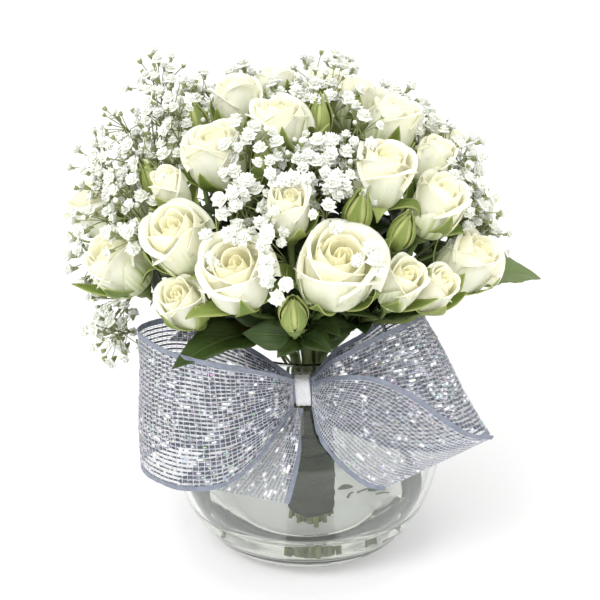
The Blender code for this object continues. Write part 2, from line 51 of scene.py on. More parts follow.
# Bowl
BOWL_RADIUS = 75.0
BOWL_MIDDLE = 57.0
FOOT_RADIUS = 36.0
MOUTH_RADIUS = 45.0
BOWL_HEIGHT = 121.0
SHOULDER_TOP = BOWL_MIDDLE + math.sqrt(BOWL_RADIUS**2 - MOUTH_RADIUS**2)  # a short lip stands on it
WALL = 3.0
FLOOR = 10.0
BOWL_SIDES = 144
WATER_LEVEL = 31.0
WATER_LAP = 0.15  # how far the water runs into the glass, so that no air shows between them

# Bundle of stems
BUNDLE_FOOT = np.array((3.0, -26.0, 13.0))
BUNDLE_NECK = np.array((1.0, -20.0, 110.0))
STEM_RING = 7.4
STEM_RADIUS = 2.2
TAPE_OUTER = 13.3
TAPE_LOW, TAPE_HIGH = 0.125, 0.86  # shares of the way up the bundle
TAPE_TURNS = 9.0  # over the whole bundle
TAPE_THICK = 0.6

# View and light, in metres and degrees; the table's half-width is in millimetres
CAMERA_PLACE = (-0.0034, -0.574, 0.363)
CAMERA_TILT = 21.3
FOCAL_LENGTH = 68.64
LIGHT_AIM = (0, 0, 0.15)
TABLE_HALF = 3000.0

# Dome of flower heads: roses face away from HEAD_AIM, sprays spread away from AIM
DOME_MIDDLE = np.array((-8.0, 0.0, 165.0))
DOME_SIZE = np.array((100.0, 100.0, 85.0))
AIM = np.array((-3.0, -2.0, 118.0))
HEAD_AIM = np.array((-3.0, -2.0, 50.0))
HEAD_REACH = 0.55
BUD_STRETCH = 3.2

# Each cut stem: the azimuth of its place in the ring, how many roses it carries, its buds as
# (azimuth, angle from the top, radius), its leaves as (azimuth, rise, share of the way out where the
# stalk starts, stalk, length of the blade, droop over length).
STEMS = {
    "top": (None, 4, [(-65, 19, 7.0), (-165, 29, 6.5)], []),
    "front": (-90, 4, [(-89, 85, 7.4)], [(-127, 26, 0.95, 25, 63, 0.30)]),
    "front_right": (-42, 5, [(-68, 56, 7.4), (-55, 64, 6.6)], []),
    "right": (8, 5, [], [(8, 18, 0.8, 58, 52, 0.42)]),
    "back_right": (58, 3, [(48, 92, 7.0)], [(50, 10, 0.5, 24, 50, 0.28)]),
    "back": (102, 4, [], [(82, 10, 0.5, 24, 50, 0.28)]),
    "back_left": (162, 3, [(164, 88, 7.0)], [(140, 8, 0.5, 26, 50, 0.28)]),
    "front_left": (-138, 5, [(-146, 52, 7.0), (-102, 38, 6.2)], [(-172, 16, 0.6, 18, 46, 0.28)]),
}

# Bow: rows of (lower edge, upper edge) across the ribbon, from the knot outwards
KNOT = np.array((-2.0, -60.0, 114.5))
KNOT_SIZE = (7.6, 11.0, 15.0)
LOOP_LEFT = [
    ((-6.7, -64, 108), (-6.7, -64, 121)), ((-13, -76, 101), (-14, -77, 130)),
    ((-24, -87, 90), (-28, -89, 139)), ((-40, -94, 81), (-43, -98, 146)),
    ((-60, -91, 77), (-62, -90, 147)), ((-76, -80, 76), (-76, -75, 147)),
    ((-84, -66, 76), (-82, -63, 147)), ((-80, -55, 77), (-77, -52, 147)),
    ((-66, -50, 78), (-62, -45, 146)), ((-46, -62, 84), (-42, -50, 140)),
    ((-24, -67, 96), (-22, -55, 130)), ((-6.7, -60, 108), (-6.7, -59, 120)),
]
LOOP_RIGHT = [
    ((2.7, -62.5, 108), (2.7, -62.5, 121)), ((10, -68, 102), (9, -66, 130)),
    ((22, -72, 98), (19, -68, 137)), ((40, -77, 93), (32, -66, 144)),
    ((62, -80, 92), (46, -59, 148)), ((80, -78, 95), (54, -54, 151)),
    ((89, -73, 98), (57, -50, 152)), ((82, -65, 97), (52, -44, 152)),
    ((64, -60, 95), (41, -42, 147)), ((42, -60, 97), (27, -48.5, 138.5)),
    ((20, -62, 102), (14, -54, 133)), ((2.7, -59, 109), (2.7, -58, 120)),
]
TAIL_LEFT = [
    ((-8, -63.5, 106.2), (-3, -63.5, 106.2)), ((-18, -71, 98), (-3, -69, 98)),
    ((-33, -74, 91), (-4, -73, 85)), ((-49, -77, 82), (-7, -78, 72)),
    ((-63, -79, 73), (-10, -79, 61)),
]
TAIL_RIGHT = [
    ((2.7, -66, 108), (2.7, -66, 120)), ((6, -71, 99), (12, -74, 127)),
    ((9, -74, 92), (31, -85, 132)), ((15, -79, 85), (49, -93, 127)),
    ((22, -83, 80), (66, -96, 115)), ((30, -86, 76), (77, -95, 108)),
    ((38, -88, 75), (88, -92, 105)),
]


# ---------------------------------------------------------------- meshes

class Stock:
    """Solids gathered for one piece. Each point has a spot on its surface (two numbers from 0 to 1)
    and a tint of three numbers that the finish reads."""

    def __init__(self):
        self.points, self.spots, self.tints = [], [], []
        self.faces, self.finishes = [], []
        self.count = 0

    def add(self, solid, tint=(0.0, 0.0, 0.0), finish=0, spots=None):
        points, faces = solid[0], solid[1]
        if spots is None:
            spots = solid[2] if len(solid) > 2 else np.zeros((len(points), 2))
        points = np.asarray(points, float).reshape(-1, 3)
        self.points.append(points)
        self.spots.append(np.asarray(spots, float).reshape(-1, 2))
        self.tints.append(np.broadcast_to(np.asarray(tint, float), (len(points), 3)))
        self.faces += [tuple(i + self.count for i in face) for face in faces]
        self.finishes += [finish] * len(faces)
        self.count += len(points)

    def set_down(self, solid, matrix, origin, tint, finish=0):
        """Adds solid turned by matrix and moved to origin."""
        self.add((placed(solid[0], matrix, origin), *solid[1:]), tint, finish)

    def piece(self, name, *finishes, smooth=True):
        mesh = bpy.data.meshes.new(name)
        mesh.from_pydata((np.concatenate(self.points) * MM).tolist(), [], self.faces)
        for finish in finishes:
            mesh.materials.append(finish)
        mesh.polygons.foreach_set("material_index", self.finishes)
        mesh.polygons.foreach_set("use_smooth", [smooth] * len(self.faces))
        corner = np.zeros(len(mesh.loops), np.int32)
        mesh.loops.foreach_get("vertex_index", corner)
        layer = mesh.uv_layers.new(name="spot")
        layer.data.foreach_set("uv", np.concatenate(self.spots)[corner].astype(np.float32).ravel())
        tint = mesh.attributes.new("tint", "FLOAT_COLOR", "POINT")
        rgba = np.ones((self.count, 4), np.float32)
        rgba[:, :3] = np.concatenate(self.tints)
        tint.data.foreach_set("color", rgba.ravel())
        mesh.update()
        return shown(name, mesh)


def shown(name, data):
    """A new object in the scene."""
    made = bpy.data.objects.new(name, data)
    bpy.context.scene.collection.objects.link(made)
    return made


def unit(v):
    v = np.asarray(v, float)
    return v / np.maximum(np.linalg.norm(v, axis=-1, keepdims=True), 1e-9)


def span(rows, cols):
    """u from 0 to 1 down the rows of a grid, v from -1 to 1 across its columns."""
    return np.linspace(0, 1, rows)[:, None], np.linspace(-1, 1, cols)[None, :]


def full_turn(sides):
    return np.linspace(0, math.tau, sides, endpoint=False)


def circle(turn, radius, height):
    """Level ring of points at the angles turn; radius and height are numbers or one for each."""
    return np.column_stack((radius * np.cos(turn), radius * np.sin(turn), height + 0 * turn))


def wrapped(r, theta, z):
    """Grid of points round Z."""
    return np.stack((r * np.cos(theta), r * np.sin(theta), z), -1)


def grid_quads(rows, cols):
    """Numbers of a grid's points, then those of each quad's four corners, in order round it."""
    index = np.arange(rows * cols).reshape(rows, cols)
    return index, index[:-1, :-1], index[:-1, 1:], index[1:, 1:], index[1:, :-1]


def axes(facing, roll):
    """3 x 3 matrix whose third column is facing; roll turns the other two round it."""
    z = unit(facing)
    x = unit(np.cross((0, 1, 0) if abs(z[1]) < 0.9 else (1, 0, 0), z))
    y = np.cross(z, x)
    c, s = math.cos(roll), math.sin(roll)
    return np.column_stack((x * c + y * s, y * c - x * s, z))


def placed(points, matrix, origin):
    return np.asarray(points, float) @ np.asarray(matrix).T + np.asarray(origin, float)


def even_spots(rows, cols):
    """Spots of a grid of points: the share across, then the share down the rows."""
    return np.stack(np.meshgrid(np.linspace(0, 1, cols), np.linspace(0, 1, rows)), -1).reshape(-1, 2)


def plate(grid, thickness):
    """Closed sheet of even thickness over a grid of points, rows x columns x 3."""
    rows, cols = grid.shape[:2]
    off = unit(np.cross(np.gradient(grid, axis=0), np.gradient(grid, axis=1)))
    half = np.asarray(thickness, float) / 2
    if half.ndim:
        half = half[..., None]
    points = np.concatenate(((grid + off * half).reshape(-1, 3), (grid - off * half).reshape(-1, 3)))
    index, a, b, c, d = grid_quads(rows, cols)
    front = np.stack((a, d, c, b), -1).reshape(-1, 4)
    back = np.stack((a, b, c, d), -1).reshape(-1, 4) + rows * cols
    rim = np.concatenate((index[0, :-1], index[:-1, -1], index[-1, :0:-1], index[:0:-1, 0]))
    after = np.roll(rim, -1)
    side = np.stack((rim, after, after + rows * cols, rim + rows * cols), -1)
    spots = even_spots(rows, cols)
    return points, np.concatenate((front, back, side)).tolist(), np.concatenate((spots, spots))


def tube(line, radii, sides=8):
    """Closed tube along a line of points; radii is one number or one for each point."""
    line = np.asarray(line, float)
    count = len(line)
    radii = np.broadcast_to(np.asarray(radii, float), (count,))
    ahead = unit(np.gradient(line, axis=0))
    side = unit(np.cross(ahead[0], (0.3, 0.5, 0.81)))
    turn = full_turn(sides)
    points = []
    for k in range(count):
        side = unit(side - ahead[k] * side.dot(ahead[k]))
        across = np.cross(ahead[k], side)
        round_it = np.outer(np.cos(turn), side) + np.outer(np.sin(turn), across)
        points.append(line[k] + radii[k] * round_it)
    return rings(points)


def rings(loops):
    """Closed solid through loops of points that all have the same number of points."""
    count, sides = len(loops), len(loops[0])
    index = np.arange(count * sides).reshape(count, sides)
    beside = np.roll(index, -1, axis=1)
    faces = np.stack((index[:-1], beside[:-1], beside[1:], index[1:]), -1).reshape(-1, 4).tolist()
    faces.append(index[0, ::-1].tolist())
    faces.append(index[-1].tolist())
    return np.concatenate(loops), faces, even_spots(count, sides)


def lathe(profile, sides):
    """Closed solid from (radius, height) points, bottom to top, turned round Z."""
    return rings([circle(full_turn(sides), r, z) for r, z in profile])


def bezier(start, lead, trail, end, steps):
    """Points on a cubic curve that leaves along lead and arrives along trail."""
    t = np.linspace(0, 1, steps + 1)[:, None]
    s = 1 - t
    start, end = np.asarray(start, float), np.asarray(end, float)
    return (start * s**3 + (start + lead) * (3 * s * s * t)
            + (end - trail) * (3 * s * t * t) + end * t**3)


def smooth_line(points, steps):
    """Catmull-Rom curve through points, with steps spans between each two."""
    points = [np.asarray(p, float) for p in points]
    ends = [points[0] * 2 - points[1]] + points + [points[-1] * 2 - points[-2]]
    line = []
    for k in range(1, len(ends) - 2):
        p0, p1, p2, p3 = ends[k - 1:k + 3]
        for j in range(steps):
            t = j / steps
            line.append(0.5 * (2 * p1 + (p2 - p0) * t + (2 * p0 - 5 * p1 + 4 * p2 - p3) * t * t
                               + (3 * p1 - p0 - 3 * p2 + p3) * t**3))
    return np.array(line + [points[-1]])


def polar(azimuth, angle):
    a, t = math.radians(azimuth), math.radians(angle)
    return np.array((math.sin(t) * math.cos(a), math.sin(t) * math.sin(a), math.cos(t)))


def ease(x):
    x = np.clip(x, 0, 1)
    return x * x * (3 - 2 * x)


# ---------------------------------------------------------------- node trees

def socket(sockets, key):
    return next((s for s in sockets if s.identifier == key), None) or sockets[key]


def put(tree, kind, inputs=None, **settings):
    """A new node with its settings, whose inputs are given values or links by identifier or name.
    A kind without "Node" in it is one of the tree's own, shader or geometry."""
    node = tree.nodes.new(kind if "Node" in kind else tree.bl_idname.replace("Tree", kind))
    for key, value in settings.items():
        setattr(node, key, value)
    for key, value in (inputs or {}).items():
        target = node.inputs[key] if isinstance(key, int) else socket(node.inputs, key)
        if isinstance(value, bpy.types.NodeSocket):
            tree.links.new(value, target)
        else:
            target.default_value = value
    return node


def new_tree(name, kind, inputs, outputs):
    """(tree, its input node, its output node), with named sockets (label, type, value)."""
    tree = bpy.data.node_groups.new(name, kind)
    for label, socket_type, value in inputs:
        made = tree.interface.new_socket(label, in_out="INPUT",
                                         socket_type="NodeSocket" + socket_type)
        if value is not None:
            made.default_value = value
    for label, socket_type in outputs:
        tree.interface.new_socket(label, in_out="OUTPUT", socket_type="NodeSocket" + socket_type)
    return tree, tree.nodes.new("NodeGroupInput"), tree.nodes.new("NodeGroupOutput")


def stored(tree, name, kind):
    """Value of a named attribute in a geometry tree."""
    read = put(tree, "InputNamedAttribute", {"Name": name}, data_type=kind)
    return socket(read.outputs, "Attribute")


def chained(tree, geometry, *steps):
    """Geometry after steps of (kind, inputs, settings), each on the last one's result."""
    for kind, inputs, settings in steps:
        geometry = put(tree, kind, {0: geometry, **inputs}, **settings).outputs[0]
    return geometry


def grown(obj, tree, values):
    """obj with the tree's result made its mesh."""
    modifier = obj.modifiers.new("grow", "NODES")
    modifier.node_group = tree
    for item in tree.interface.items_tree:
        if item.in_out == "INPUT" and item.name in values:
            modifier[item.identifier] = values[item.name]
    bpy.context.view_layer.update()
    graph = bpy.context.evaluated_depsgraph_get()
    mesh = bpy.data.meshes.new_from_object(obj.evaluated_get(graph))
    obj.modifiers.clear()
    obj.data = mesh
    return obj


# ---------------------------------------------------------------- finishes

def maths(tree, operation, *values):
    return put(tree, "Math", dict(enumerate(values)), operation=operation).outputs[0]


def mixed(tree, factor, a, b, blend="MIX"):
    node = put(tree, "Mix", {"Factor_Float": factor, "A_Color": a, "B_Color": b},
               data_type="RGBA", blend_type=blend)
    return socket(node.outputs, "Result_Color")


def ranged(tree, value, low, high, to_low=0.0, to_high=1.0):
    return put(tree, "MapRange", {"Value": value, "From Min": low, "From Max": high,
                                  "To Min": to_low, "To Max": to_high}).outputs[0]


def noise(tree, vector, scale, detail, **settings):
    return put(tree, "TexNoise", {"Vector": vector, "Scale": scale, "Detail": detail},
               **settings).outputs["Fac"]


def streaks(tree, vector, stretch, detail):
    """Flat noise drawn out over the surface, by how many times it changes each way."""
    flat = put(tree, "Mapping", {"Vector": vector, "Scale": stretch}).outputs[0]
    return noise(tree, flat, 1.0, detail, noise_dimensions="2D")


def place_of(tree):
    return put(tree, "TexCoord").outputs["Object"]


def spot_of(tree):
    """The spot on the surface, then its share across and its share along."""
    spot = put(tree, "UVMap", uv_map="spot").outputs["UV"]
    split = put(tree, "SeparateXYZ", {"Vector": spot})
    return spot, split.outputs[0], split.outputs[1]


def tint_of(tree):
    colour = put(tree, "Attribute", attribute_name="tint")
    return put(tree, "SeparateColor", {"Color": colour.outputs["Color"]}).outputs


def grey(tree, level):
    return put(tree, "CombineColor", {"Red": level, "Green": level, "Blue": level}).outputs[0]


def finish(name, **sockets):
    """(material, its tree, its Principled shader) with plain values set on the shader's sockets."""
    made = bpy.data.materials.new(name)
    made.use_nodes = True
    tree = made.node_tree
    shader = tree.nodes["Principled BSDF"]
    for key, value in sockets.items():
        shader.inputs[key.replace("_", " ")].default_value = value
    return made, tree, shader


def covered(tree, shader, colour, height, strength, distance):
    """Gives the shader its colour and a bump of this height."""
    bump = put(tree, "Bump", {"Height": height, "Strength": strength, "Distance": distance})
    tree.links.new(colour, shader.inputs["Base Color"])
    tree.links.new(bump.outputs["Normal"], shader.inputs["Normal"])


def mottle_group():
    """Slow and fine drifts of one colour towards another, and a height for a bump."""
    tree, inside, outside = new_tree(
        "mottle", "ShaderNodeTree",
        [("Colour", "Color", None), ("Second", "Color", None), ("Amount", "Float", 0.5),
         ("Scale", "Float", 100.0), ("Fine", "Float", 600.0)],
        [("Colour", "Color"), ("Height", "Float")])
    given = inside.outputs
    place = place_of(tree)
    slow, fine = noise(tree, place, given["Scale"], 3.0), noise(tree, place, given["Fine"], 2.0)
    height = maths(tree, "MULTIPLY_ADD", fine, 0.28, maths(tree, "MULTIPLY_ADD", slow, 0.72, 0.0))
    share = maths(tree, "MULTIPLY", ranged(tree, height, 0.34, 0.66), given["Amount"])
    tree.links.new(mixed(tree, share, given["Colour"], given["Second"]), outside.inputs["Colour"])
    tree.links.new(height, outside.inputs["Height"])
    return tree


MOTTLE = mottle_group()


def mottled(tree, first, second, amount, scale, fine):
    """Colour and height of a surface that drifts from the first colour towards the second."""
    node = put(tree, "Group", {"Colour": first, "Second": second, "Amount": amount, "Scale": scale,
                               "Fine": fine}, node_tree=MOTTLE)
    return node.outputs["Colour"], node.outputs["Height"]


def petal_finish():
    """Ivory petals: warm and yellow deep in the heart, green at the foot and on the guard petals.
    The tint holds (depth in the heart, greenness, a number of the petal's own)."""
    # Emission_Strength makes the petals glow a little: painted light that lifts their shade
    made, tree, shader = finish("petal_ivory", Roughness=0.5, Subsurface_Weight=0.5,
                                Subsurface_Scale=0.004, Subsurface_Radius=(1.0, 0.95, 0.75),
                                Specular_IOR_Level=0.35, Emission_Strength=0.07)
    heart, green, own = tint_of(tree)[:3]
    spot, _, along = spot_of(tree)
    pale, height = mottled(tree, (0.93, 0.92, 0.785, 1), (0.895, 0.88, 0.69, 1), 0.8, 90.0, 500.0)
    warm = mixed(tree, heart, pale, (0.98, 0.925, 0.60, 1))
    foot = ranged(tree, along, 0.62, 0.08)
    lower = mixed(tree, maths(tree, "MULTIPLY", foot, 0.6), warm, (0.62, 0.68, 0.28, 1))
    # veins run up the petal
    veins = streaks(tree, spot, (9.0, 1.0, 1.0), 3.0)
    streak = ranged(tree, veins, 0.36, 0.66)
    guard = maths(tree, "MULTIPLY", green, ranged(tree, streak, 0.0, 1.0, 0.25, 1.0))
    fading = maths(tree, "MULTIPLY", guard, ranged(tree, along, 1.0, 0.35, 0.45, 1.0))
    greened = mixed(tree, fading, lower, (0.33, 0.43, 0.09, 1))
    blush = maths(tree, "MULTIPLY", ranged(tree, own, 0.86, 1.0), ranged(tree, along, 0.93, 1.0))
    edged = mixed(tree, maths(tree, "MULTIPLY", blush, 0.5), greened, (0.62, 0.50, 0.22, 1))
    # painted glow: the petals give off light of their own colour, a stand-in for light that comes
    # through thin petals, which also lifts the shade deep in the hearts
    tree.links.new(edged, shader.inputs["Emission Color"])  # light that comes through thin petals
    covered(tree, shader, edged, maths(tree, "MULTIPLY_ADD", veins, 0.6, height), 0.22, 0.0004)
    return made


def green_finish(name, first, second, pale, roughness, veins=False, margin=0.0):
    """Leaf, sepal or stem: a leaf with veins, a sepal with a paler margin. The tint holds
    (paleness, darkness, a number that this finish doesn't read)."""
    made, tree, shader = finish(name, Roughness=roughness, Subsurface_Weight=0.08,
                                Subsurface_Scale=0.002, Specular_IOR_Level=0.3)
    paler, darker = tint_of(tree)[:2]
    base, height = mottled(tree, first, second, 0.85, 140.0, 900.0)
    colour = mixed(tree, paler, base, pale)
    if veins or margin:
        spot, across, along = spot_of(tree)
        off = maths(tree, "ABSOLUTE", maths(tree, "SUBTRACT", across, 0.5))
    if veins:
        ribs = maths(tree, "MULTIPLY_ADD", along, 15.0, maths(tree, "MULTIPLY", off, -9.0))
        side_vein = ranged(tree, maths(tree, "PINGPONG", ribs, 0.5), 0.06, 0.0)
        mid_vein = ranged(tree, off, 0.03, 0.008)
        vein = maths(tree, "MAXIMUM", maths(tree, "MULTIPLY", side_vein, 0.55), mid_vein)
        colour = mixed(tree, maths(tree, "MULTIPLY", vein, 0.45), colour, pale)
        height = maths(tree, "SUBTRACT", height, maths(tree, "MULTIPLY", vein, 1.2))
    if margin:
        edge = maths(tree, "MULTIPLY", ranged(tree, off, 0.30, 0.5), margin)
        fibres = streaks(tree, spot, (26.0, 1.6, 1.0), 2.0)
        light = maths(tree, "MULTIPLY", ranged(tree, fibres, 0.5, 0.75), 0.35)
        colour = mixed(tree, maths(tree, "MAXIMUM", edge, light), colour, pale)
        height = maths(tree, "MULTIPLY_ADD", fibres, 0.8, height)
    shade = maths(tree, "SUBTRACT", 1.0, maths(tree, "MULTIPLY", darker, 0.75))
    toned = mixed(tree, 1.0, colour, grey(tree, shade), blend="MULTIPLY")
    covered(tree, shader, toned, height, 0.5, 0.0005)
    return made


def floret_finish():
    """White petals, with painted shade, darker and grey-green, in the valleys between the tiers,
    which the tint's first number marks; on a bud the same number greens it.
    """
    made, tree, shader = finish("floret_white", Roughness=0.6)
    valley_shade_and_bud_green = tint_of(tree)[0]
    base, height = mottled(tree, (0.90, 0.90, 0.88, 1), (0.80, 0.81, 0.77, 1), 0.9, 300.0, 900.0)
    # painted shade: the valleys turn towards a darker grey green
    covered(tree, shader, mixed(tree, valley_shade_and_bud_green, base, (0.62, 0.65, 0.54, 1)), height, 0.3, 0.0003)
    return made


def foil_finish(name, dark, middle, light, share, clear=0.0):
    """Crumpled foil strip: along each strip painted highlights, bright dashes up to white that stand
    in for glints off its crumples, break a darker ground, with painted pin-point sparkles of colour
    here and there. The ground is see-through by the share clear."""
    made, tree, shader = finish(name, Metallic=0.55, Roughness=0.3)
    place = place_of(tree)
    run, own = (put(tree, "Attribute", attribute_name=label).outputs["Fac"]
                for label in ("run", "own"))
    strip = put(tree, "CombineXYZ", {"X": maths(tree, "MULTIPLY", run, 240.0),
                                     "Y": maths(tree, "MULTIPLY", own, 5.3)})
    glint_dash = noise(tree, strip.outputs[0], 1.0, 2.0, noise_dimensions="2D")
    drift = noise(tree, place, 85.0, 2.0)
    level = maths(tree, "MULTIPLY_ADD", glint_dash, 0.68, maths(tree, "MULTIPLY", drift, 0.32))
    glint_tone = put(tree, "ValToRGB", {"Fac": level})
    ramp = glint_tone.color_ramp
    # painted highlight: the ramp runs from the dark ground up to white, in bright dashes where the
    # crumpled foil would catch the light
    ramp.elements[0].position, ramp.elements[0].color = share - 0.08, dark
    ramp.elements[1].position, ramp.elements[1].color = share + 0.10, (1, 1, 1, 1)
    for stop, shade in ((share, middle), (share + 0.035, light)):
        between = ramp.elements.new(stop)
        between.color = shade
    # painted glints: pin-point sparkles of colour
    flecks = put(tree, "TexVoronoi", {"Vector": place, "Scale": 1000.0})
    cell = put(tree, "SeparateColor", {"Color": flecks.outputs["Color"]}).outputs
    hue = put(tree, "CombineColor", {"Red": cell[1], "Green": 0.5, "Blue": 1.0}, mode="HSV")
    spark = maths(tree, "MULTIPLY", ranged(tree, cell[2], 0.95, 0.96), 0.6)
    if clear:
        seen = ranged(tree, level, share - 0.03, share + 0.04, 1.0 - clear, 1.0)
        tree.links.new(seen, shader.inputs["Alpha"])
    covered(tree, shader, mixed(tree, spark, glint_tone.outputs["Color"], hue.outputs[0]),
            noise(tree, place, 420.0, 2.0), 0.7, 0.0008)
    return made


def thread_finish(name, first, second, roughness):
    """Twisted thread or satin."""
    made, tree, shader = finish(name, Roughness=roughness, Sheen_Weight=0.2)
    base, height = mottled(tree, first, second, 0.8, 300.0, 1600.0)
    twist = put(tree, "TexWave", {"Vector": place_of(tree), "Scale": 260.0, "Distortion": 1.5,
                                  "Detail": 1.0}, bands_direction="DIAGONAL")
    covered(tree, shader, base, maths(tree, "ADD", height, twist.outputs["Fac"]), 0.6, 0.0003)
    return made


def tape_finish():
    """Waxed crepe paper, with painted shade in the creases that run round the bundle."""
    made, tree, shader = finish("crepe_tape", Roughness=0.8, Specular_IOR_Level=0.25)
    base, _ = mottled(tree, (0.050, 0.064, 0.032, 1), (0.038, 0.050, 0.024, 1), 0.6, 30.0, 90.0)
    flat = put(tree, "Mapping", {"Vector": place_of(tree), "Scale": (34.0, 34.0, 230.0),
                                 "Rotation": (0.0, 0.16, 0.0)})
    crepe = noise(tree, flat.outputs[0], 1.0, 1.5)
    # painted shade: the crepe's low folds are darkened towards a near-black green
    crease_shade = mixed(tree, ranged(tree, crepe, 0.50, 0.32), base, (0.012, 0.017, 0.008, 1))
    covered(tree, shader, crease_shade, crepe, 1.0, 0.003)
    return made


def clear_finish(name, ior, tint, edge_shade_share=0.0):
    """Glass or water, with a trace of unevenness in the surface. A wall seen edge on is darker and
    greyer by edge_shade_share. This is painted shade for the dark rims that clear glass shows; a
    little of it is the glass's own tint, where light crosses more of it."""
    made, tree, shader = finish(name, Roughness=0.0, IOR=ior, Transmission_Weight=1.0)
    base, height = mottled(tree, tint, (tint[0] * 0.985, tint[1], tint[2] * 0.99, 1), 1.0, 20.0, 60.0)
    # painted shade: surfaces seen edge on turn towards a grey green
    edge = put(tree, "LayerWeight", {"Blend": 0.5})
    deep = ranged(tree, edge.outputs["Facing"], 0.72, 1.0, 0.0, edge_shade_share)
    covered(tree, shader, mixed(tree, deep, base, (0.40, 0.44, 0.42, 1)), height, 0.04, 0.001)
    return made


def floor_finish():
    """White table, with a painted pool of light: a glow under the bowl that stands in for the light
    the glass gathers under itself.
    """
    made, tree, shader = finish("white_table", Roughness=0.7, Emission_Strength=0.3)
    base, _ = mottled(tree, (0.93, 0.93, 0.93, 1), (0.91, 0.91, 0.91, 1), 0.6, 3.0, 20.0)
    tree.links.new(base, shader.inputs["Base Color"])
    away = put(tree, "VectorMath", {0: place_of(tree)}, operation="LENGTH").outputs["Value"]
    # painted light: the table glows within a few centimetres of the bowl's middle
    pool = grey(tree, ranged(tree, away, 0.068, 0.030))
    tree.links.new(pool, shader.inputs["Emission Color"])
    return made


PETAL = petal_finish()
SEPAL = green_finish("sepal_green", (0.080, 0.140, 0.014, 1), (0.14, 0.22, 0.024, 1),
                     (0.50, 0.55, 0.20, 1), 0.5, margin=0.55)
LEAF = green_finish("leaf_green", (0.030, 0.065, 0.010, 1), (0.055, 0.105, 0.018, 1),
                    (0.17, 0.24, 0.08, 1), 0.42, veins=True)
STEM = green_finish("stem_green", (0.13, 0.19, 0.045, 1), (0.09, 0.14, 0.03, 1),
                    (0.38, 0.44, 0.17, 1), 0.45)
TWIG = green_finish("twig_green", (0.20, 0.24, 0.09, 1), (0.13, 0.15, 0.06, 1),
                    (0.40, 0.46, 0.22, 1), 0.6)
FLORET = floret_finish()
FOIL = foil_finish("foil_strip", (0.075, 0.08, 0.105, 1), (0.19, 0.20, 0.25, 1),
                   (0.50, 0.50, 0.55, 1), 0.56)
CLEAR_FOIL = foil_finish("clear_foil_strip", (0.20, 0.21, 0.25, 1), (0.34, 0.35, 0.40, 1),
                         (0.62, 0.62, 0.66, 1), 0.585, clear=0.65)
THREAD = thread_finish("white_thread", (0.66, 0.67, 0.71, 1), (0.42, 0.44, 0.49, 1), 0.45)
SELVEDGE = thread_finish("slate_selvedge", (0.15, 0.17, 0.22, 1), (0.23, 0.25, 0.31, 1), 0.6)
SATIN = thread_finish("white_satin", (0.66, 0.66, 0.67, 1), (0.58, 0.58, 0.60, 1), 0.5)
TAPE = tape_finish()
GLASS = clear_finish("clear_glass", 1.5, (0.985, 0.995, 0.985, 1), 0.55)
WATER = clear_finish("still_water", 1.33, (0.995, 0.99, 0.955, 1))
DEW = clear_finish("dew", 1.4, (0.97, 0.97, 0.96, 1), 0.6)


# ---------------------------------------------------------------- bowl, water, tape

def glass_arc(radius, low, high, steps):
    """Points (r, z) on the bowl's sphere of this radius between two heights."""
    t = np.linspace(math.asin((low - BOWL_MIDDLE) / radius), math.asin((high - BOWL_MIDDLE) / radius),
                    steps + 1)
    return list(zip(radius * np.cos(t), BOWL_MIDDLE + radius * np.sin(t)))


def bowl_inside():
    """Inside of the bowl as (r, z), from the middle of its floor up the wall to the mouth."""
    corner = [(38.0, FLOOR), (43.0, FLOOR + 0.4), (46.8, FLOOR + 1.2), (50.0, FLOOR + 2.6),
              (53.2, FLOOR + 4.4)]
    wall = glass_arc(BOWL_RADIUS - WALL, FLOOR + 6.4, SHOULDER_TOP - 1.0, 26)
    return [(0.01, FLOOR), (20.0, FLOOR)] + corner + wall


def make_bowl():
    """Glass bowl, and its water with a raised edge where it wets the wall."""
    outside = [(0.01, 1.2), (22.0, 0.8), (30.0, 0.2), (FOOT_RADIUS, 0.0), (39.0, 0.3), (43.0, 1.5),
               (47.0, 3.6)] + glass_arc(BOWL_RADIUS, 8.0, SHOULDER_TOP, 28)
    half = WALL / 2
    rim = [(MOUTH_RADIUS - half + half * math.cos(t), BOWL_HEIGHT - half + half * math.sin(t))
           for t in np.linspace(0, math.pi, 9)]
    stock = Stock()
    stock.add(lathe(outside + rim + bowl_inside()[::-1], BOWL_SIDES))
    bowl = stock.piece("round_glass_bowl", GLASS)
    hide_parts("glass_bowl")

    profile = []
    inside = bowl_inside()
    for (r, z), (r_next, z_next) in zip(inside, inside[1:]):
        profile.append((r if r < 1 else r + WATER_LAP, z - WATER_LAP))
        if z_next > WATER_LEVEL:
            edge = r + (r_next - r) * (WATER_LEVEL - z) / (z_next - z)
            profile += [(edge + WATER_LAP, WATER_LEVEL + 0.9), (edge - 0.6, WATER_LEVEL + 0.25),
                        (edge - 2.0, WATER_LEVEL), (0.01, WATER_LEVEL)]
            break
    stock = Stock()
    stock.add(lathe(profile, BOWL_SIDES))
    water = stock.piece("bowl_water", WATER)
    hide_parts("water")
    return [bowl, water]


def along_bundle(share, ring=0.0, azimuth=0.0):
    """Point at this share of the way up the bundle, ring out from its middle line."""
    a = math.radians(azimuth)
    return (BUNDLE_FOOT * (1 - share) + BUNDLE_NECK * share
            + np.array((ring * math.cos(a), ring * math.sin(a), 0.0)))


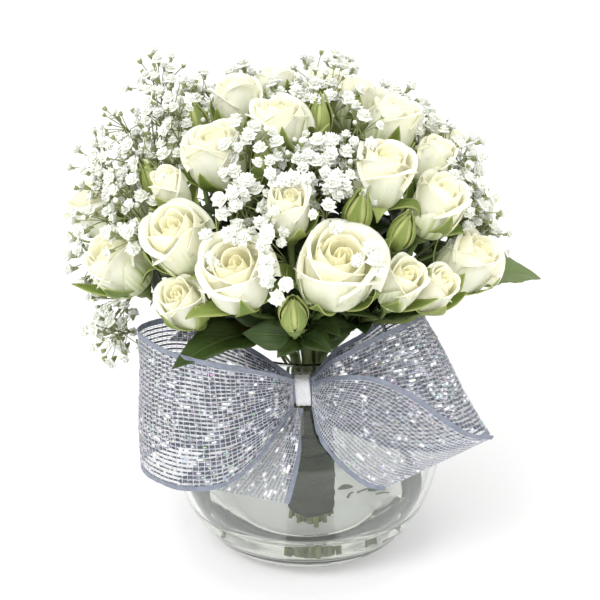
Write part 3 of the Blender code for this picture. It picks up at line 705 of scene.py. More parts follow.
def make_tape():
    """Crepe tape wound round the stems in overlapping turns, open at both ends."""
    chance = np.random.default_rng(4)
    sides, count = 48, 84
    turn = full_turn(sides)
    phases = chance.uniform(0, math.tau, 12)
    outer, inner = [], []
    for k in range(count + 1):
        t = k / count
        share = TAPE_LOW + (TAPE_HIGH - TAPE_LOW) * t
        lap = (share * TAPE_TURNS + turn / math.tau) % 1.0
        body = TAPE_OUTER - 0.4 - 2.4 * ease((t - 0.45) / 0.5)
        radius = body + 0.55 * (1 - ease(lap * 5)) + 0.3 * np.sin(3 * turn + phases[0] + 5 * t)
        radius = radius + 0.25 * np.sin(7 * turn + phases[1] - 17 * t) * np.sin(41 * t + phases[2])
        radius = radius + (0.22 * np.sin(2 * turn + 63 * t)
                           * (0.5 + 0.5 * np.sin(5 * turn + phases[3])))
        middle = along_bundle(share)
        ragged = 0.6 * np.sin(5 * turn + phases[4]) + 0.5 * np.sin(11 * turn + phases[5])
        lift = np.zeros((sides, 3))
        if k in (0, count):
            lift[:, 2] = ragged * (1 if k else -1)
        outer.append(middle + circle(turn, radius, 0.0) + lift)
        inner.append(middle + circle(turn, radius - TAPE_THICK, 0.0) + lift)
    points, faces, spots = rings(outer + inner[::-1])
    faces = faces[:-2]  # its two end caps, so that the last ring can join the first
    first = np.arange(sides)
    last = first + (2 * count + 1) * sides
    faces += np.stack((last, np.roll(last, -1), np.roll(first, -1), first), -1).tolist()
    stock = Stock()
    stock.add((points, faces, spots))
    tape = stock.piece("stem_tape", TAPE)
    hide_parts("floral_tape")
    return [tape]


def make_scraps():
    """Pale cut ends of side shoots below the tape, and bits of stem and leaf that lie on the floor
    of the bowl."""
    chance = random.Random("scraps")
    stock = Stock()
    ends = 26
    for k in range(ends):
        turn, out = k * GOLDEN, (TAPE_OUTER - 2.2) * math.sqrt((k + 0.5) / ends)
        top = along_bundle(0.17, out, math.degrees(turn))
        end = along_bundle(0.0, out * 1.12, math.degrees(turn))
        end = end + unit(top - end) * (FLOOR + chance.uniform(0.8, 5.0) - end[2])
        shoot = tube(np.linspace(end, top, 5), chance.uniform(1.1, 1.5), 8)
        stock.add(shoot, (0.8, 0.0, chance.random()))
    for x, y, turn, length in ((30, -2, 25, 15), (36, 5, -20, 12), (24, -8, 60, 7), (41, -4, 10, 8),
                               (33, 12, 100, 6), (-31, 6, 35, 5)):
        a = math.radians(turn)
        way = np.array((math.cos(a), math.sin(a), 0.0))
        start = np.array((x, y, FLOOR + 1.2))
        line = bezier(start, way * 2 + (0, 0, 1.5), way * 2 + (1, -1.5, -0.5), start + way * length,
                      5)
        stock.add(tube(line, 0.75, 6), (0.5 * chance.random() + 0.2, 0.0, chance.random()))
    for x, y, turn in ((36, -1, 15), (28, 4, 200)):
        a = math.radians(turn)
        way = np.array((math.cos(a), math.sin(a), 0.12))
        put_leaf(stock, np.array((x, y, FLOOR + 2.0)), way, 11, chance, dark=0.0, share=0.24,
                 droop=0.1, fine=False, pale=0.5)
    stock.finishes = [1 if k == LEAF_SLOT else 0 for k in stock.finishes]
    scraps = stock.piece("cut_scraps", STEM, LEAF)
    return [scraps]


# ---------------------------------------------------------------- roses

def read_head(node):
    """(seat, the way it faces, length, radius) of a rose head in the frame."""
    points = np.array([v.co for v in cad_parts[node].data.vertices]) / MM
    points = np.unique(np.round(points, 2), axis=0)
    facing = unit(points.mean(0) - HEAD_AIM)
    along = (points - HEAD_AIM) @ facing
    away = np.linalg.norm(points - HEAD_AIM - np.outer(along, facing), axis=1)
    return HEAD_AIM + facing * along.min(), facing, along.max() - along.min(), away.max()


def cubic(s, a, b, c, d):
    """Value of a cubic curve through a and d, and a third of its slope."""
    t = 1 - s
    return (t**3 * a + 3 * t**2 * s * b + 3 * t * s * s * c + s**3 * d,
            t**2 * (b - a) + 2 * t * s * (c - b) + s * s * (d - c))


def petal_grid(turn, wrap, foot, belly, crest, height, roll, curl, slip, wave, phase, rows, cols,
               corner, peak, side):
    """Grid of points over one petal of a head whose axis is +Z: it rises from the foot, bellies out,
    and its rim rolls back through the angle roll round a curl of that radius, most at its corners.
    corner and peak cut its corners, and side is how much less its middle rolls than they do."""
    u, v = span(rows, cols)
    bent = 0.36  # share of the petal in its rolled rim
    reach = 1 - corner * np.abs(v)**peak
    s = np.minimum(u / (1 - bent), 1) * reach
    q = np.clip((u - (1 - bent)) / bent, 0, 1) + 0 * v
    r, tr = cubic(s, foot, belly * 1.12, belly * 1.06, crest)
    z, tz = cubic(s, 0.0, 0.03 * height, 0.60 * height, height)
    size = np.sqrt(tr * tr + tz * tz)
    tr, tz = tr / size, tz / size
    angle = q * roll * (1 - side + side * np.abs(v)**1.3) * (1 + 0.18 * np.sin(v * 3.1 + phase * 2.3))
    r = r + curl * (np.sin(angle) * tr + (1 - np.cos(angle)) * tz)
    z = z + curl * (np.sin(angle) * tz - (1 - np.cos(angle)) * tr)
    high = ease(s * 1.1)
    r = r + slip * v * high + wave * np.sin(v * 4.1 + phase) * high * high
    z = z + 0.8 * wave * np.sin(v * 5.3 + phase * 1.7) * high
    r = np.maximum(r, 0.25)
    theta = turn + v * wrap / 2
    return wrapped(r, theta, z + 0 * v)


def rose(node, number):
    """Fine head in three whorls: the furled heart, the petals that close round it, and broad outer
    petals with a rolled lip. Some heads keep one or two short green guard petals outside."""
    seat, facing, length, radius = read_head(node)
    chance = random.Random("petals " + node)
    size = (radius - 10.0) / 10.0  # 0 for the smallest heads, 1 for the largest
    openness = min(1.0, max(0.0, size * 0.8 + chance.uniform(-0.1, 0.2)))
    wide = radius * 0.99
    # each petal's crest, belly, share of the head's length, wrap and roll in degrees, curl, slip,
    # wave, corner and peak, then its depth in the heart
    whorls = []
    hearts, middles, outers = 6 + round(2 * openness), 5 + round(3 * openness), 3 + round(openness)
    for k in range(hearts):
        f = k / hearts
        crest = wide * (0.04 + 0.36 * f**0.9)
        whorls.append((crest, wide * (0.10 + 0.46 * f**0.8), 0.95 + 0.04 * f - 0.06 * openness,
                       262 - 66 * f, 25 + 50 * f, 0.03 + 0.025 * f, -0.34 * crest, 0.014, 0.28, 2.4,
                       (1 - f) * 0.5 + 0.5))
    for k in range(middles):
        f = k / middles
        crest = wide * (0.40 + 0.34 * f**0.8)
        whorls.append((crest, wide * (0.55 + 0.26 * f), 1.0 - 0.07 * openness * f, 192 - 26 * f,
                       72 + 42 * f, 0.075 + 0.045 * f, -0.14 * crest, 0.030, 0.26, 1.9,
                       0.5 - 0.3 * f))
    for k in range(outers):
        f = k / outers
        crest = wide * (0.75 + (0.04 + 0.06 * openness) * f)
        whorls.append((crest, wide * (0.83 + 0.04 * f), 0.92 - (0.04 + 0.12 * openness) * f,
                       172 - 18 * f, 96 + 26 * f + 26 * openness, 0.145 + 0.04 * openness,
                       -0.06 * crest, 0.045, 0.30, 1.5, 0.14 - 0.14 * f))
    guards = chance.choice((0, 1, 1, 2))
    grids, coats = [], []
    turn = chance.uniform(0, math.tau)
    for k, whorl in enumerate(whorls):
        crest, belly, high, wrap, roll, curl, slip, wave, corner, peak, heart = whorl
        outer = k >= len(whorls) - outers
        fine = k >= hearts
        grid = petal_grid(
            turn, math.radians(wrap * chance.uniform(0.95, 1.05)), radius * 0.11, belly, crest,
            length * high * chance.uniform(0.975, 1.02),
            math.radians(roll * chance.uniform(0.8, 1.2)), curl * wide, slip,
            wide * wave * chance.uniform(0.5, 1.4), chance.uniform(0, math.tau),
            13 if fine else 9, 14 if fine else 11, corner, peak, 0.2 if outer else 0.35)
        green = chance.uniform(0.0, 0.35) if outer and guards else chance.uniform(0.0, 0.1)
        grids.append((grid, (heart, green, chance.random())))
        if outer:
            coats.append(grid)
        turn += GOLDEN + math.radians(chance.uniform(-9, 9))
        if k == hearts + middles - 1:
            turn += chance.uniform(0, 1)
    for _ in range(guards):
        grid = petal_grid(
            turn, math.radians(chance.uniform(66, 92)), radius * 0.12, wide * 0.93, wide * 0.90,
            length * chance.uniform(0.60, 0.84), math.radians(chance.uniform(10, 60)), wide * 0.08,
            -wide * 0.02, wide * 0.02, chance.uniform(0, math.tau), 13, 13, 0.42, 1.4, 0.3)
        grids.append((grid, (0.0, chance.uniform(0.7, 1.0), chance.random())))
        turn += GOLDEN * 0.7
    stock = Stock()
    matrix = axes(facing, number * 0.7)
    for grid, tint in grids:
        up, _ = span(*grid.shape[:2])
        thick = np.broadcast_to(0.40 - 0.24 * up, grid.shape[:2])  # thinner towards the lip
        stock.set_down(plate(grid, thick), matrix, seat, tint)
    made = stock.piece(node.replace("rose_", "bloom_"), PETAL)
    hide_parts(node)
    coats = [placed(grid[3:-4, 2:-2], matrix, seat) for grid in coats]  # without rims and feet
    return made, (seat, facing, length, radius, openness), coats


# ---------------------------------------------------------------- sepals, buds, leaves, stems

SEPAL_SLOT, STEM_SLOT, LEAF_SLOT = range(3)  # finishes of a stem with its greens, in order
SMALL_LEAVES = 64  # tried on each stem


def sepal_grid(turn, wide, base, belly, lift, length, flare, curve):
    """Grid over one long-pointed sepal. It hugs a head of radius belly, then leaves it by flare and
    drops by curve at its tip."""
    u, v = span(9, 5)
    width = wide * (np.sin(math.pi * np.clip(u, 0, 1)**0.62)**0.9 * 0.5 + 0.5 * (1 - u)**0.8) + 0.16
    hug = ease(u / 0.75)
    r = base + (belly - base) * np.sin(np.minimum(u * 1.25, 1) * math.pi / 2) + flare * u**2.4
    z = lift + length * (u - 0.10 * (1 - u) * u) - curve * u**3
    fold = 0.22 * width * np.abs(v)
    theta = turn + v * width / np.maximum(r, 2.0)
    r = r + fold * (0.4 + 0.6 * hug)
    return wrapped(r, theta, z + 0 * v)


def leaf_grid(length, share, droop, rows, cols, teeth=11):
    """Toothed blade along +X from the origin, arched, with both halves folded up from the midrib."""
    t, v = span(rows, cols)
    half = share * length * np.sin(math.pi * t**0.85) ** 0.9 + 0.02
    saw = (t * teeth) % 1.0
    tooth = 1 + 0.10 * (saw - 0.4) * (np.abs(v) > 0.99)
    out = v * half * tooth
    lift = (0.30 * np.abs(out) + 0.06 * length * np.sin(math.pi * t) - droop * length * t * t
            + 0.10 * half * np.sin(t * 19 + 2 * v) * np.abs(v))
    return np.stack((length * (t - 0.08 * t * t) + 0 * v, out, lift), -1)


def put_leaf(stock, root, out, length, chance, dark, rise=(0, 0, 1), share=0.2, droop=0.28,
             fine=True, pale=0.05):
    """One leaf from root along out, its upper side towards rise. Only a fine one has a midrib."""
    out = unit(out)
    side = unit(np.cross(rise, out))
    matrix = np.column_stack((out, side, np.cross(out, side)))
    rows, cols = (22, 9) if fine else (9, 5)
    grid = leaf_grid(length, share, droop, rows, cols)
    tint = (pale + 0.1 * chance.random(), dark, chance.random())
    stock.set_down(plate(grid, 0.4), matrix, root, tint, LEAF_SLOT)
    if fine:
        rib = grid[:-2, cols // 2] - (0, 0, 0.25)
        rib = tube(placed(rib, matrix, root), np.linspace(0.75, 0.2, len(rib)), 6)
        stock.add(rib, (0.6, dark, 0.5), STEM_SLOT)


def put_sepals(stock, seat, matrix, radius, length, openness, chance):
    """Five sepals round a head. About half of them, or more on an open one, bend away."""
    base = 0.2 * radius + 1.5
    turn = chance.uniform(0, math.tau)
    for j in range(5):
        reach = length * chance.uniform(0.74, 1.02)
        bends = chance.random() < 0.55 + 0.2 * openness
        flare = radius * (chance.uniform(0.1, 0.65) if bends else -0.02)
        curve = reach * (0.9 if flare > 0.35 * radius else 0.2) * chance.random()
        grid = sepal_grid(turn + j * math.tau / 5 + chance.uniform(-0.12, 0.12), 4.3 + 0.10 * radius,
                          base, radius * 1.05 + 0.6, -1.2, reach, flare, curve)
        tint = (0.35 * chance.random() * chance.random() * 2, 0.1, chance.random())
        stock.set_down(plate(grid, 0.45), matrix, seat, tint, SEPAL_SLOT)


def bud_shape(up, start):
    return np.sin(math.pi * np.clip(up * 0.93 + start, 0, 1))**0.8 * (1 - 0.25 * up)


def put_bud(stock, seat, matrix, radius, length, chance):
    """Closed bud: a pale furled tip inside five sepals that end in long points."""
    z = np.linspace(0, 1, 12)
    shape = radius * 0.90 * bud_shape(z, 0.05)
    loops = [circle(full_turn(14), r, length * 0.94 * h) for r, h in zip(np.maximum(shape, 0.3), z)]
    stock.set_down(rings(loops), matrix, seat, (0.95, 0.0, chance.random()), SEPAL_SLOT)
    start = chance.uniform(0, math.tau)
    for j in range(5):
        u, v = span(13, 7)
        r = radius * (1.0 + 0.05 * (j % 2)) * bud_shape(u, 0.06)
        r = (np.maximum(r, 0.5)
             + 0.25 * radius * np.clip(u - 0.86, 0, 1) * 6 * chance.uniform(0.1, 1.0))
        width = 0.64 * np.clip(1.05 - u, 0, 1)**0.5
        theta = start + j * math.tau / 5 + v * width * (1 - 0.25 * u)
        r = r + 0.08 * radius * (1 - np.abs(v))
        grid = wrapped(r, theta, length * (1.12 * u - 0.03) + 0 * v)
        tint = (0.15 + 0.35 * chance.random(), 0.05, chance.random())
        stock.set_down(plate(grid, 0.4), matrix, seat, tint, SEPAL_SLOT)


def greens(name, heads):
    """One cut stem with its stalks, cups, sepals, buds and leaves."""
    azimuth, _, buds, leaves = STEMS[name]
    chance = random.Random("greens " + name)
    stock = Stock()
    ring, turn = (0.0, 0.0) if azimuth is None else (STEM_RING, azimuth)
    up = unit(BUNDLE_NECK - BUNDLE_FOOT)
    foot = along_bundle(0, ring, turn)
    foot = foot + up * (FLOOR + 0.6 + chance.uniform(0, 2.5) - foot[2])
    neck = along_bundle(1, ring, turn)
    ends = []
    for az, angle, radius in buds:
        length = BUD_STRETCH * radius
        middle = DOME_MIDDLE + DOME_SIZE * polar(az, angle)
        facing = unit(middle - HEAD_AIM)
        ends.append((middle - facing * length * HEAD_REACH, facing, length, radius, None))
    mean = unit(sum(end[0] - neck for end in heads + ends))
    fork = neck + mean * (50 if azimuth is None else 32)
    trunk = np.concatenate((
        np.linspace(foot, along_bundle(0.5, ring, turn), 8)[:-1],
        np.linspace(along_bundle(0.5, ring, turn), neck, 8)[:-1],
        bezier(neck, up * 12, mean * 12, fork, 8)))
    points, faces, spots = tube(trunk, STEM_RADIUS + 0.12 * np.sin(np.arange(len(trunk)) * 1.7), 10)
    high = spots[:, 1]
    tint = np.column_stack((np.clip(1.1 - high * 4.5, 0.2, 1.0), np.clip(high * 0.6, 0.0, 0.35),
                            np.full(len(points), chance.random())))
    stock.add((points, faces, spots), tint, STEM_SLOT)
    ends = heads + ends
    for seat, facing, length, radius, openness in ends:
        low = seat - facing * 9
        gap = np.linalg.norm(low - fork)
        line = bezier(fork - mean * 2, mean * gap * 0.45, facing * gap * 0.18, low, 9)
        cup = 0.2 * radius + 1.5
        line = np.concatenate((line, [seat - facing * h for h in (7.0, 5.6, 4.2, 2.6, 1.2, 0.2)]))
        radii = [1.45] * 10 + [1.5, 0.62 * cup, 0.92 * cup, 1.06 * cup, 1.0 * cup, 0.86 * cup]
        matrix = axes(facing, chance.uniform(0, math.tau))
        if openness is None:
            radii = [1.3] * 10 + [1.4] + [share * radius for share in (0.4, 0.5, 0.55, 0.5, 0.5)]
        tint = (0.35 * chance.random(), 0.1, chance.random())
        stock.add(tube(line, radii, 10), tint, STEM_SLOT)
        if openness is None:
            put_bud(stock, seat, matrix, radius, length, chance)
        else:
            put_sepals(stock, seat, matrix, radius, length, openness, chance)
    for az, rise, share, stalk, length, droop in leaves:
        out = polar(az, 90 - rise)
        root = trunk[14 + int(share * 8)]
        stalk_line = np.linspace(root, root + out * (stalk + 2), 6)
        stock.add(tube(stalk_line, 0.9, 6), (0.3, 0.3, 0.5), STEM_SLOT)
        if name == "front":  # hangs lower than its stalk points, over the left loop
            out, length = polar(az - 6, 90 - rise + 7), length * 0.97
        if name == "right":  # shows its pale upper side, further out
            put_leaf(stock, root + out * (stalk + 3), out, length * 1.08, chance, 0.0,
                     (0, -0.5, 0.85), droop=droop, pale=0.8)
        else:
            put_leaf(stock, root + out * stalk, out, length, chance, 0.5, (0, -0.35, 0.9),
                     droop=droop)
    # small leaves that fill the middle of the bouquet, clear of the bow
    for k in range(SMALL_LEAVES):
        end = ends[k % len(ends)]
        root = fork + (end[0] - end[1] * 9 - fork) * chance.uniform(0.0, 0.85)
        aside = np.array([chance.uniform(-1, 1) for _ in range(3)])
        away = unit(end[1] * 0.5 + aside - end[1] * 0.5 * aside.dot(end[1]))
        tip = root + away * 26
        if tip[1] < 12 and (root[2] < 126 or tip[2] < 150 or tip[2] < 162 and abs(tip[0]) > 32):
            continue
        stock.add(tube(np.linspace(root, root + away * 4, 3), 0.6, 5), (0.2, 0.6, 0.5), STEM_SLOT)
        length, dark = chance.uniform(18, 27), chance.uniform(0.2, 0.75)
        rise = unit(end[1] + 0.6 * np.array([chance.uniform(-1, 1) for _ in range(3)]))
        put_leaf(stock, root + away * 3, away, length, chance, dark, rise, share=0.30, fine=False)
    made = stock.piece("greens_" + name, SEPAL, STEM, LEAF)
    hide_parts("leafy_stem_" + name)
    return made


# ---------------------------------------------------------------- baby's breath

FLORET_LOBES, FLORET_WIDE, FLORET_HIGH = 7, 3.6, 2.1  # an open floret, radius and height


def read_sprigs():
    """[(middle, the way it faces, its half-width)] of the florets of each spray in the frame."""
    found = {}
    for node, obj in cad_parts.items():
        if not node.startswith("gypsophila_"):
            continue
        points = np.array([v.co for v in obj.data.vertices]) / MM
        keys, inverse = np.unique(np.round(points, 2), axis=0, return_inverse=True)
        inverse = inverse.reshape(-1)
        beside = {}
        for face in obj.data.polygons:
            corners = [int(inverse[i]) for i in face.vertices]
            for a in corners:
                beside.setdefault(a, set()).update(b for b in corners if b != a)
        florets = []
        for a, near in beside.items():
            if len(near) != 4:
                continue
            around = keys[list(near)]
            gaps = np.linalg.norm(around - keys[a], axis=1)
            if gaps.max() - gaps.min() > 0.05 or not 2.0 < gaps.mean() < 3.2:
                continue
            middle = around.mean(0)
            facing = unit(keys[a] - middle)
            if np.linalg.norm(keys[a] - middle) < 1.0 or facing.dot(unit(middle - AIM)) < 0.7:
                continue
            florets.append((middle, facing, gaps.mean() / 1.166))
        found[node] = florets
    return found


def floret_solid(chance):
    """Small double flower of three ruffled tiers over a rounded back, with its tints: painted shade
    on the back and in the valleys between the tiers.
    """
    steps = FLORET_LOBES * 2
    turn = full_turn(steps)
    tiers = [(0.36, 0.30, -0.62), (1.00, 0.80, -0.05), (0.58, 0.50, 0.30), (0.82, 0.60, 0.82),
             (0.36, 0.30, 0.70), (0.48, 0.30, 1.28)]
    loops = []
    for k, (tip, notch, rise) in enumerate(tiers):
        odd = (np.arange(steps) + (k // 2)) % 2 == 0
        uneven = np.array([chance.uniform(0.80, 1.14) for _ in range(steps)])
        r = np.where(odd, tip, notch) * FLORET_WIDE * uneven
        ruffle = np.array([chance.uniform(-0.2, 0.2) for _ in range(steps)])
        z = FLORET_HIGH * (rise + np.where(odd, 0.10, -0.08) + ruffle * (k > 0))
        loops.append(circle(turn, r, z))
    # painted shade: 0.5 on the back and 0.9 in the valleys between tiers, where shade falls
    depth = np.repeat([0.5, 0.0, 0.9, 0.0, 0.9, 0.0], steps)
    return rings(loops), np.column_stack((depth, 0 * depth, 0 * depth))


def calyx_solid():
    """Green cup behind a floret."""
    return rings([circle(full_turn(5), r * FLORET_WIDE, z * FLORET_HIGH)
                  for r, z in ((0.09, -2.1), (0.26, -1.5), (0.36, -0.7), (0.40, -0.35))])


# Florets that hang forward between two neighbouring heads, by spray: the heads, then the way from
# the first head to the first floret and from halfway between them to the last, and the number.
HANGING = {
    "gypsophila_front": ("rose_front_1", "rose_front_2", (2, -10, 27), (-1, -24, 0), 15),
    "gypsophila_front_middle": ("rose_front_2", "rose_front_right_1", (12, -14, 22), (-2, -18, 6), 7),
    "gypsophila_left": ("rose_front_left_2", "rose_front_1", (14, -12, 16), (0, -14, -6), 5)}
BUD_KIND = 4  # the bud comes after the four kinds of floret


def floret_kinds(chance):
    """Four kinds of open floret and a bud, to be copied."""
    kinds = []
    for k in range(4):
        stock = Stock()
        solid, depth = floret_solid(chance)
        stock.add(solid[:2], depth, 0)
        stock.add(calyx_solid()[:2], (0.3, 0, 0.5), 1)
        kinds.append(stock.piece(f"floret_kind_{k}", FLORET, TWIG, smooth=False))
    bud = Stock()
    for index, profile in ((0, ((0.9, 0.1), (1.05, 0.9), (0.75, 1.7), (0.2, 2.05))),
                           (1, ((0.25, -1.4), (0.85, -0.7), (1.08, 0.3), (0.98, 0.7)))):
        bud.add(lathe(profile, 6)[:2], (0.4, 0, 0.2), index)
    kinds.append(bud.piece("floret_kind_bud", FLORET, TWIG))
    return kinds


def scatter_tree():
    """Copies a kind of floret to each point, turned to face its own way."""
    tree, inside, outside = new_tree(
        "florets on stalks", "GeometryNodeTree",
        [("Geometry", "Geometry", None), ("Kinds", "Collection", None), ("Seed", "Int", 3),
         ("Size", "Float", 1.0)], [("Geometry", "Geometry")])
    given = inside.outputs
    shapes = put(tree, "CollectionInfo", {"Collection": given["Kinds"], "Separate Children": True,
                                          "Reset Children": True}).outputs[0]
    spin = put(tree, "FunctionNodeRandomValue", {"Max_001": math.tau, "Seed": given["Seed"]})
    turned = put(tree, "FunctionNodeAxisAngleToRotation", {
        "Axis": (0, 0, 1), "Angle": socket(spin.outputs, "Value_001")})
    aimed = put(tree, "FunctionNodeAlignRotationToVector", {
        "Vector": stored(tree, "facing", "FLOAT_VECTOR")}, axis="Z")
    both = put(tree, "FunctionNodeRotateRotation", {
        "Rotation": aimed.outputs[0], "Rotate By": turned.outputs[0]}, rotation_space="LOCAL")
    scaled = put(tree, "ShaderNodeMath", {0: stored(tree, "size", "FLOAT"), 1: given["Size"]},
                 operation="MULTIPLY")
    real = chained(
        tree, given["Geometry"],
        ("InstanceOnPoints", {"Instance": shapes, "Pick Instance": True,
                              "Instance Index": stored(tree, "kind", "INT"),
                              "Rotation": both.outputs[0], "Scale": scaled.outputs[0]}, {}),
        ("RealizeInstances", {}, {}))
    tree.links.new(real, outside.inputs["Geometry"])
    return tree


def spray_heads(node, florets, chance, stalks):
    """[(place, the way it faces, kind, size)] of all florets of a spray: the frame's, side florets
    near each of them and those that hang forward. Stalks gets the stalks that the frame hasn't."""
    heads = []
    cloud = "cloud" in node

    def crowded(place, gap):
        return any(np.linalg.norm(place - head[0]) < gap for head in heads)

    def branch(line, facing, little, low, high):
        """A floret, or a little bud, at the end of a stalk along line, sized from low to high."""
        stalks.add(tube(line, 0.24, 4), (0.25, 0.0, chance.random()))
        heads.append((line[-1], facing, BUD_KIND if little else chance.randrange(BUD_KIND),
                      chance.uniform(low, high)))

    for middle, facing, half in florets:
        heads.append((middle - facing * 0.2, facing, chance.randrange(BUD_KIND),
                      chance.uniform(0.92, 1.12) * half / 2.15))
        root = middle - facing * chance.uniform(9, 13)
        for _ in range(chance.randint(16, 20) if cloud else chance.randint(12, 16)):
            away = unit(facing * 0.9 + np.array([chance.gauss(0, 0.8) for _ in range(3)]))
            end = root + away * chance.uniform(8, 23 if cloud else 19)
            if crowded(end, 4.8):
                continue
            little = chance.random() < (0.3 if cloud else 0.18)
            sizes = (0.9, 1.4) if little else (0.70, 1.0 if cloud else 1.22)
            line = bezier(root - facing, facing * 3, away * 3, end, 4)
            branch(line, unit(away + facing * 0.4), little, *sizes)
    if node in HANGING:
        one, two, first, last, count = HANGING[node]
        one, two = (seat + out * length * 0.5 for seat, out, length, _ in map(read_head, (one, two)))
        half = (one + two) / 2
        for k in range(count):
            end = one + first + (half + last - one - first) * (k + 0.5) / count
            end = end + np.array([chance.uniform(-far, far) for far in (7, 2.5, 6)])
            if crowded(end, 4.6):
                continue
            root = half + (0, 14, 0)
            away = unit(end - root)
            branch(bezier(root, away * 4 + (0, 0, 3), away * 4, end, 4),
                   unit(away + np.array((0, -0.5, 0.4))), False, 0.95, 1.2)
    return heads


def put_sprays():
    """Florets, side florets and buds of each spray. The thin stems are the frame's own."""
    chance = random.Random("sprays")
    kinds = floret_kinds(chance)
    shelf = bpy.data.collections.new("floret_kinds")
    bpy.context.scene.collection.children.link(shelf)
    for kind in kinds:
        bpy.context.scene.collection.objects.unlink(kind)
        shelf.objects.link(kind)
    scatter = scatter_tree()
    made = []
    for node, florets in read_sprigs().items():
        stalks = Stock()
        heads, facings, which, sizes = zip(*spray_heads(node, florets, chance, stalks))
        mesh = bpy.data.meshes.new(node + "_heads")
        mesh.from_pydata((np.array(heads) * MM).tolist(), [], [])
        for label, kind_of, field, values in (
                ("facing", "FLOAT_VECTOR", "vector", np.array(facings, np.float32)),
                ("kind", "INT", "value", np.array(which, np.int32)),
                ("size", "FLOAT", "value", np.array(sizes, np.float32))):
            mesh.attributes.new(label, kind_of, "POINT").data.foreach_set(field, values.ravel())
        piece = shown(node.replace("gypsophila", "breath"), mesh)
        grown(piece, scatter, {"Kinds": shelf, "Size": 1.0, "Seed": len(made)})
        twigs = stalks.piece(node.replace("gypsophila", "stalks"), TWIG)
        made += [piece, twigs]
        for material_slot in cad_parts[node].material_slots:
            material_slot.material = TWIG
    for kind in kinds:
        bpy.data.objects.remove(kind, do_unlink=True)
    bpy.data.collections.remove(shelf)
    return made


# ---------------------------------------------------------------- bow

def weave_tree():
    """Mesh ribbon over a grid of edges: flat foil strips and a thin thread along it, threads across
    it, and a wide woven selvedge down each side."""
    tree, inside, outside = new_tree(
        "mesh ribbon", "GeometryNodeTree",
        [("Geometry", "Geometry", None), ("Strip Width", "Float", 0.001),
         ("Strip Thickness", "Float", 0.0001), ("Thread Radius", "Float", 0.0002),
         ("Selvedge Width", "Float", 0.0025), ("Selvedge Thickness", "Float", 0.0005),
         ("Foil", "Material", None), ("Thread", "Material", None), ("Selvedge", "Material", None)],
        [("Geometry", "Geometry")])
    normal = put(tree, "InputNormal").outputs[0]
    kept = chained(tree, inside.outputs["Geometry"], (
        "StoreNamedAttribute", {"Name": "facing", "Value": normal},
        {"data_type": "FLOAT_VECTOR", "domain": "POINT"}))
    facing = stored(tree, "facing", "FLOAT_VECTOR")

    def lines(label, profile, material, smooth):
        """A profile along each line of edges that the attribute label marks."""
        length = put(tree, "SplineParameter").outputs["Length"]
        number = put(tree, "InputIndex").outputs[0]
        return chained(
            tree, kept,
            ("MeshToCurve", {"Selection": stored(tree, label, "BOOLEAN")}, {}),
            ("StoreNamedAttribute", {"Name": "run", "Value": length},
             {"data_type": "FLOAT", "domain": "POINT"}),
            ("StoreNamedAttribute", {"Name": "own", "Value": number},
             {"data_type": "FLOAT", "domain": "CURVE"}),
            ("SetCurveNormal", {"Normal": facing}, {"mode": "FREE"}),
            ("CurveToMesh", {"Profile Curve": profile, "Fill Caps": True}, {}),
            ("SetShadeSmooth", {"Shade Smooth": smooth}, {}),
            ("SetMaterial", {"Material": material}, {}))

    def flat(width, thickness):
        return put(tree, "CurvePrimitiveQuadrilateral", {
            "Width": inside.outputs[thickness], "Height": inside.outputs[width]}).outputs[0]

    round_thread = put(tree, "CurvePrimitiveCircle", {
        "Resolution": 3, "Radius": inside.outputs["Thread Radius"]}).outputs[0]
    whole = put(tree, "JoinGeometry")
    foil = flat("Strip Width", "Strip Thickness")
    selvedge = flat("Selvedge Width", "Selvedge Thickness")
    for label, profile, material, smooth in (
            ("foil", foil, "Foil", False), ("weft", round_thread, "Thread", True),
            ("warp", round_thread, "Thread", True), ("side", selvedge, "Selvedge", False)):
        result = lines(label, profile, inside.outputs[material], smooth)
        tree.links.new(result, whole.inputs["Geometry"])
    real = chained(tree, whole.outputs[0], ("RealizeInstances", {}, {}))
    tree.links.new(real, outside.inputs["Geometry"])
    return tree


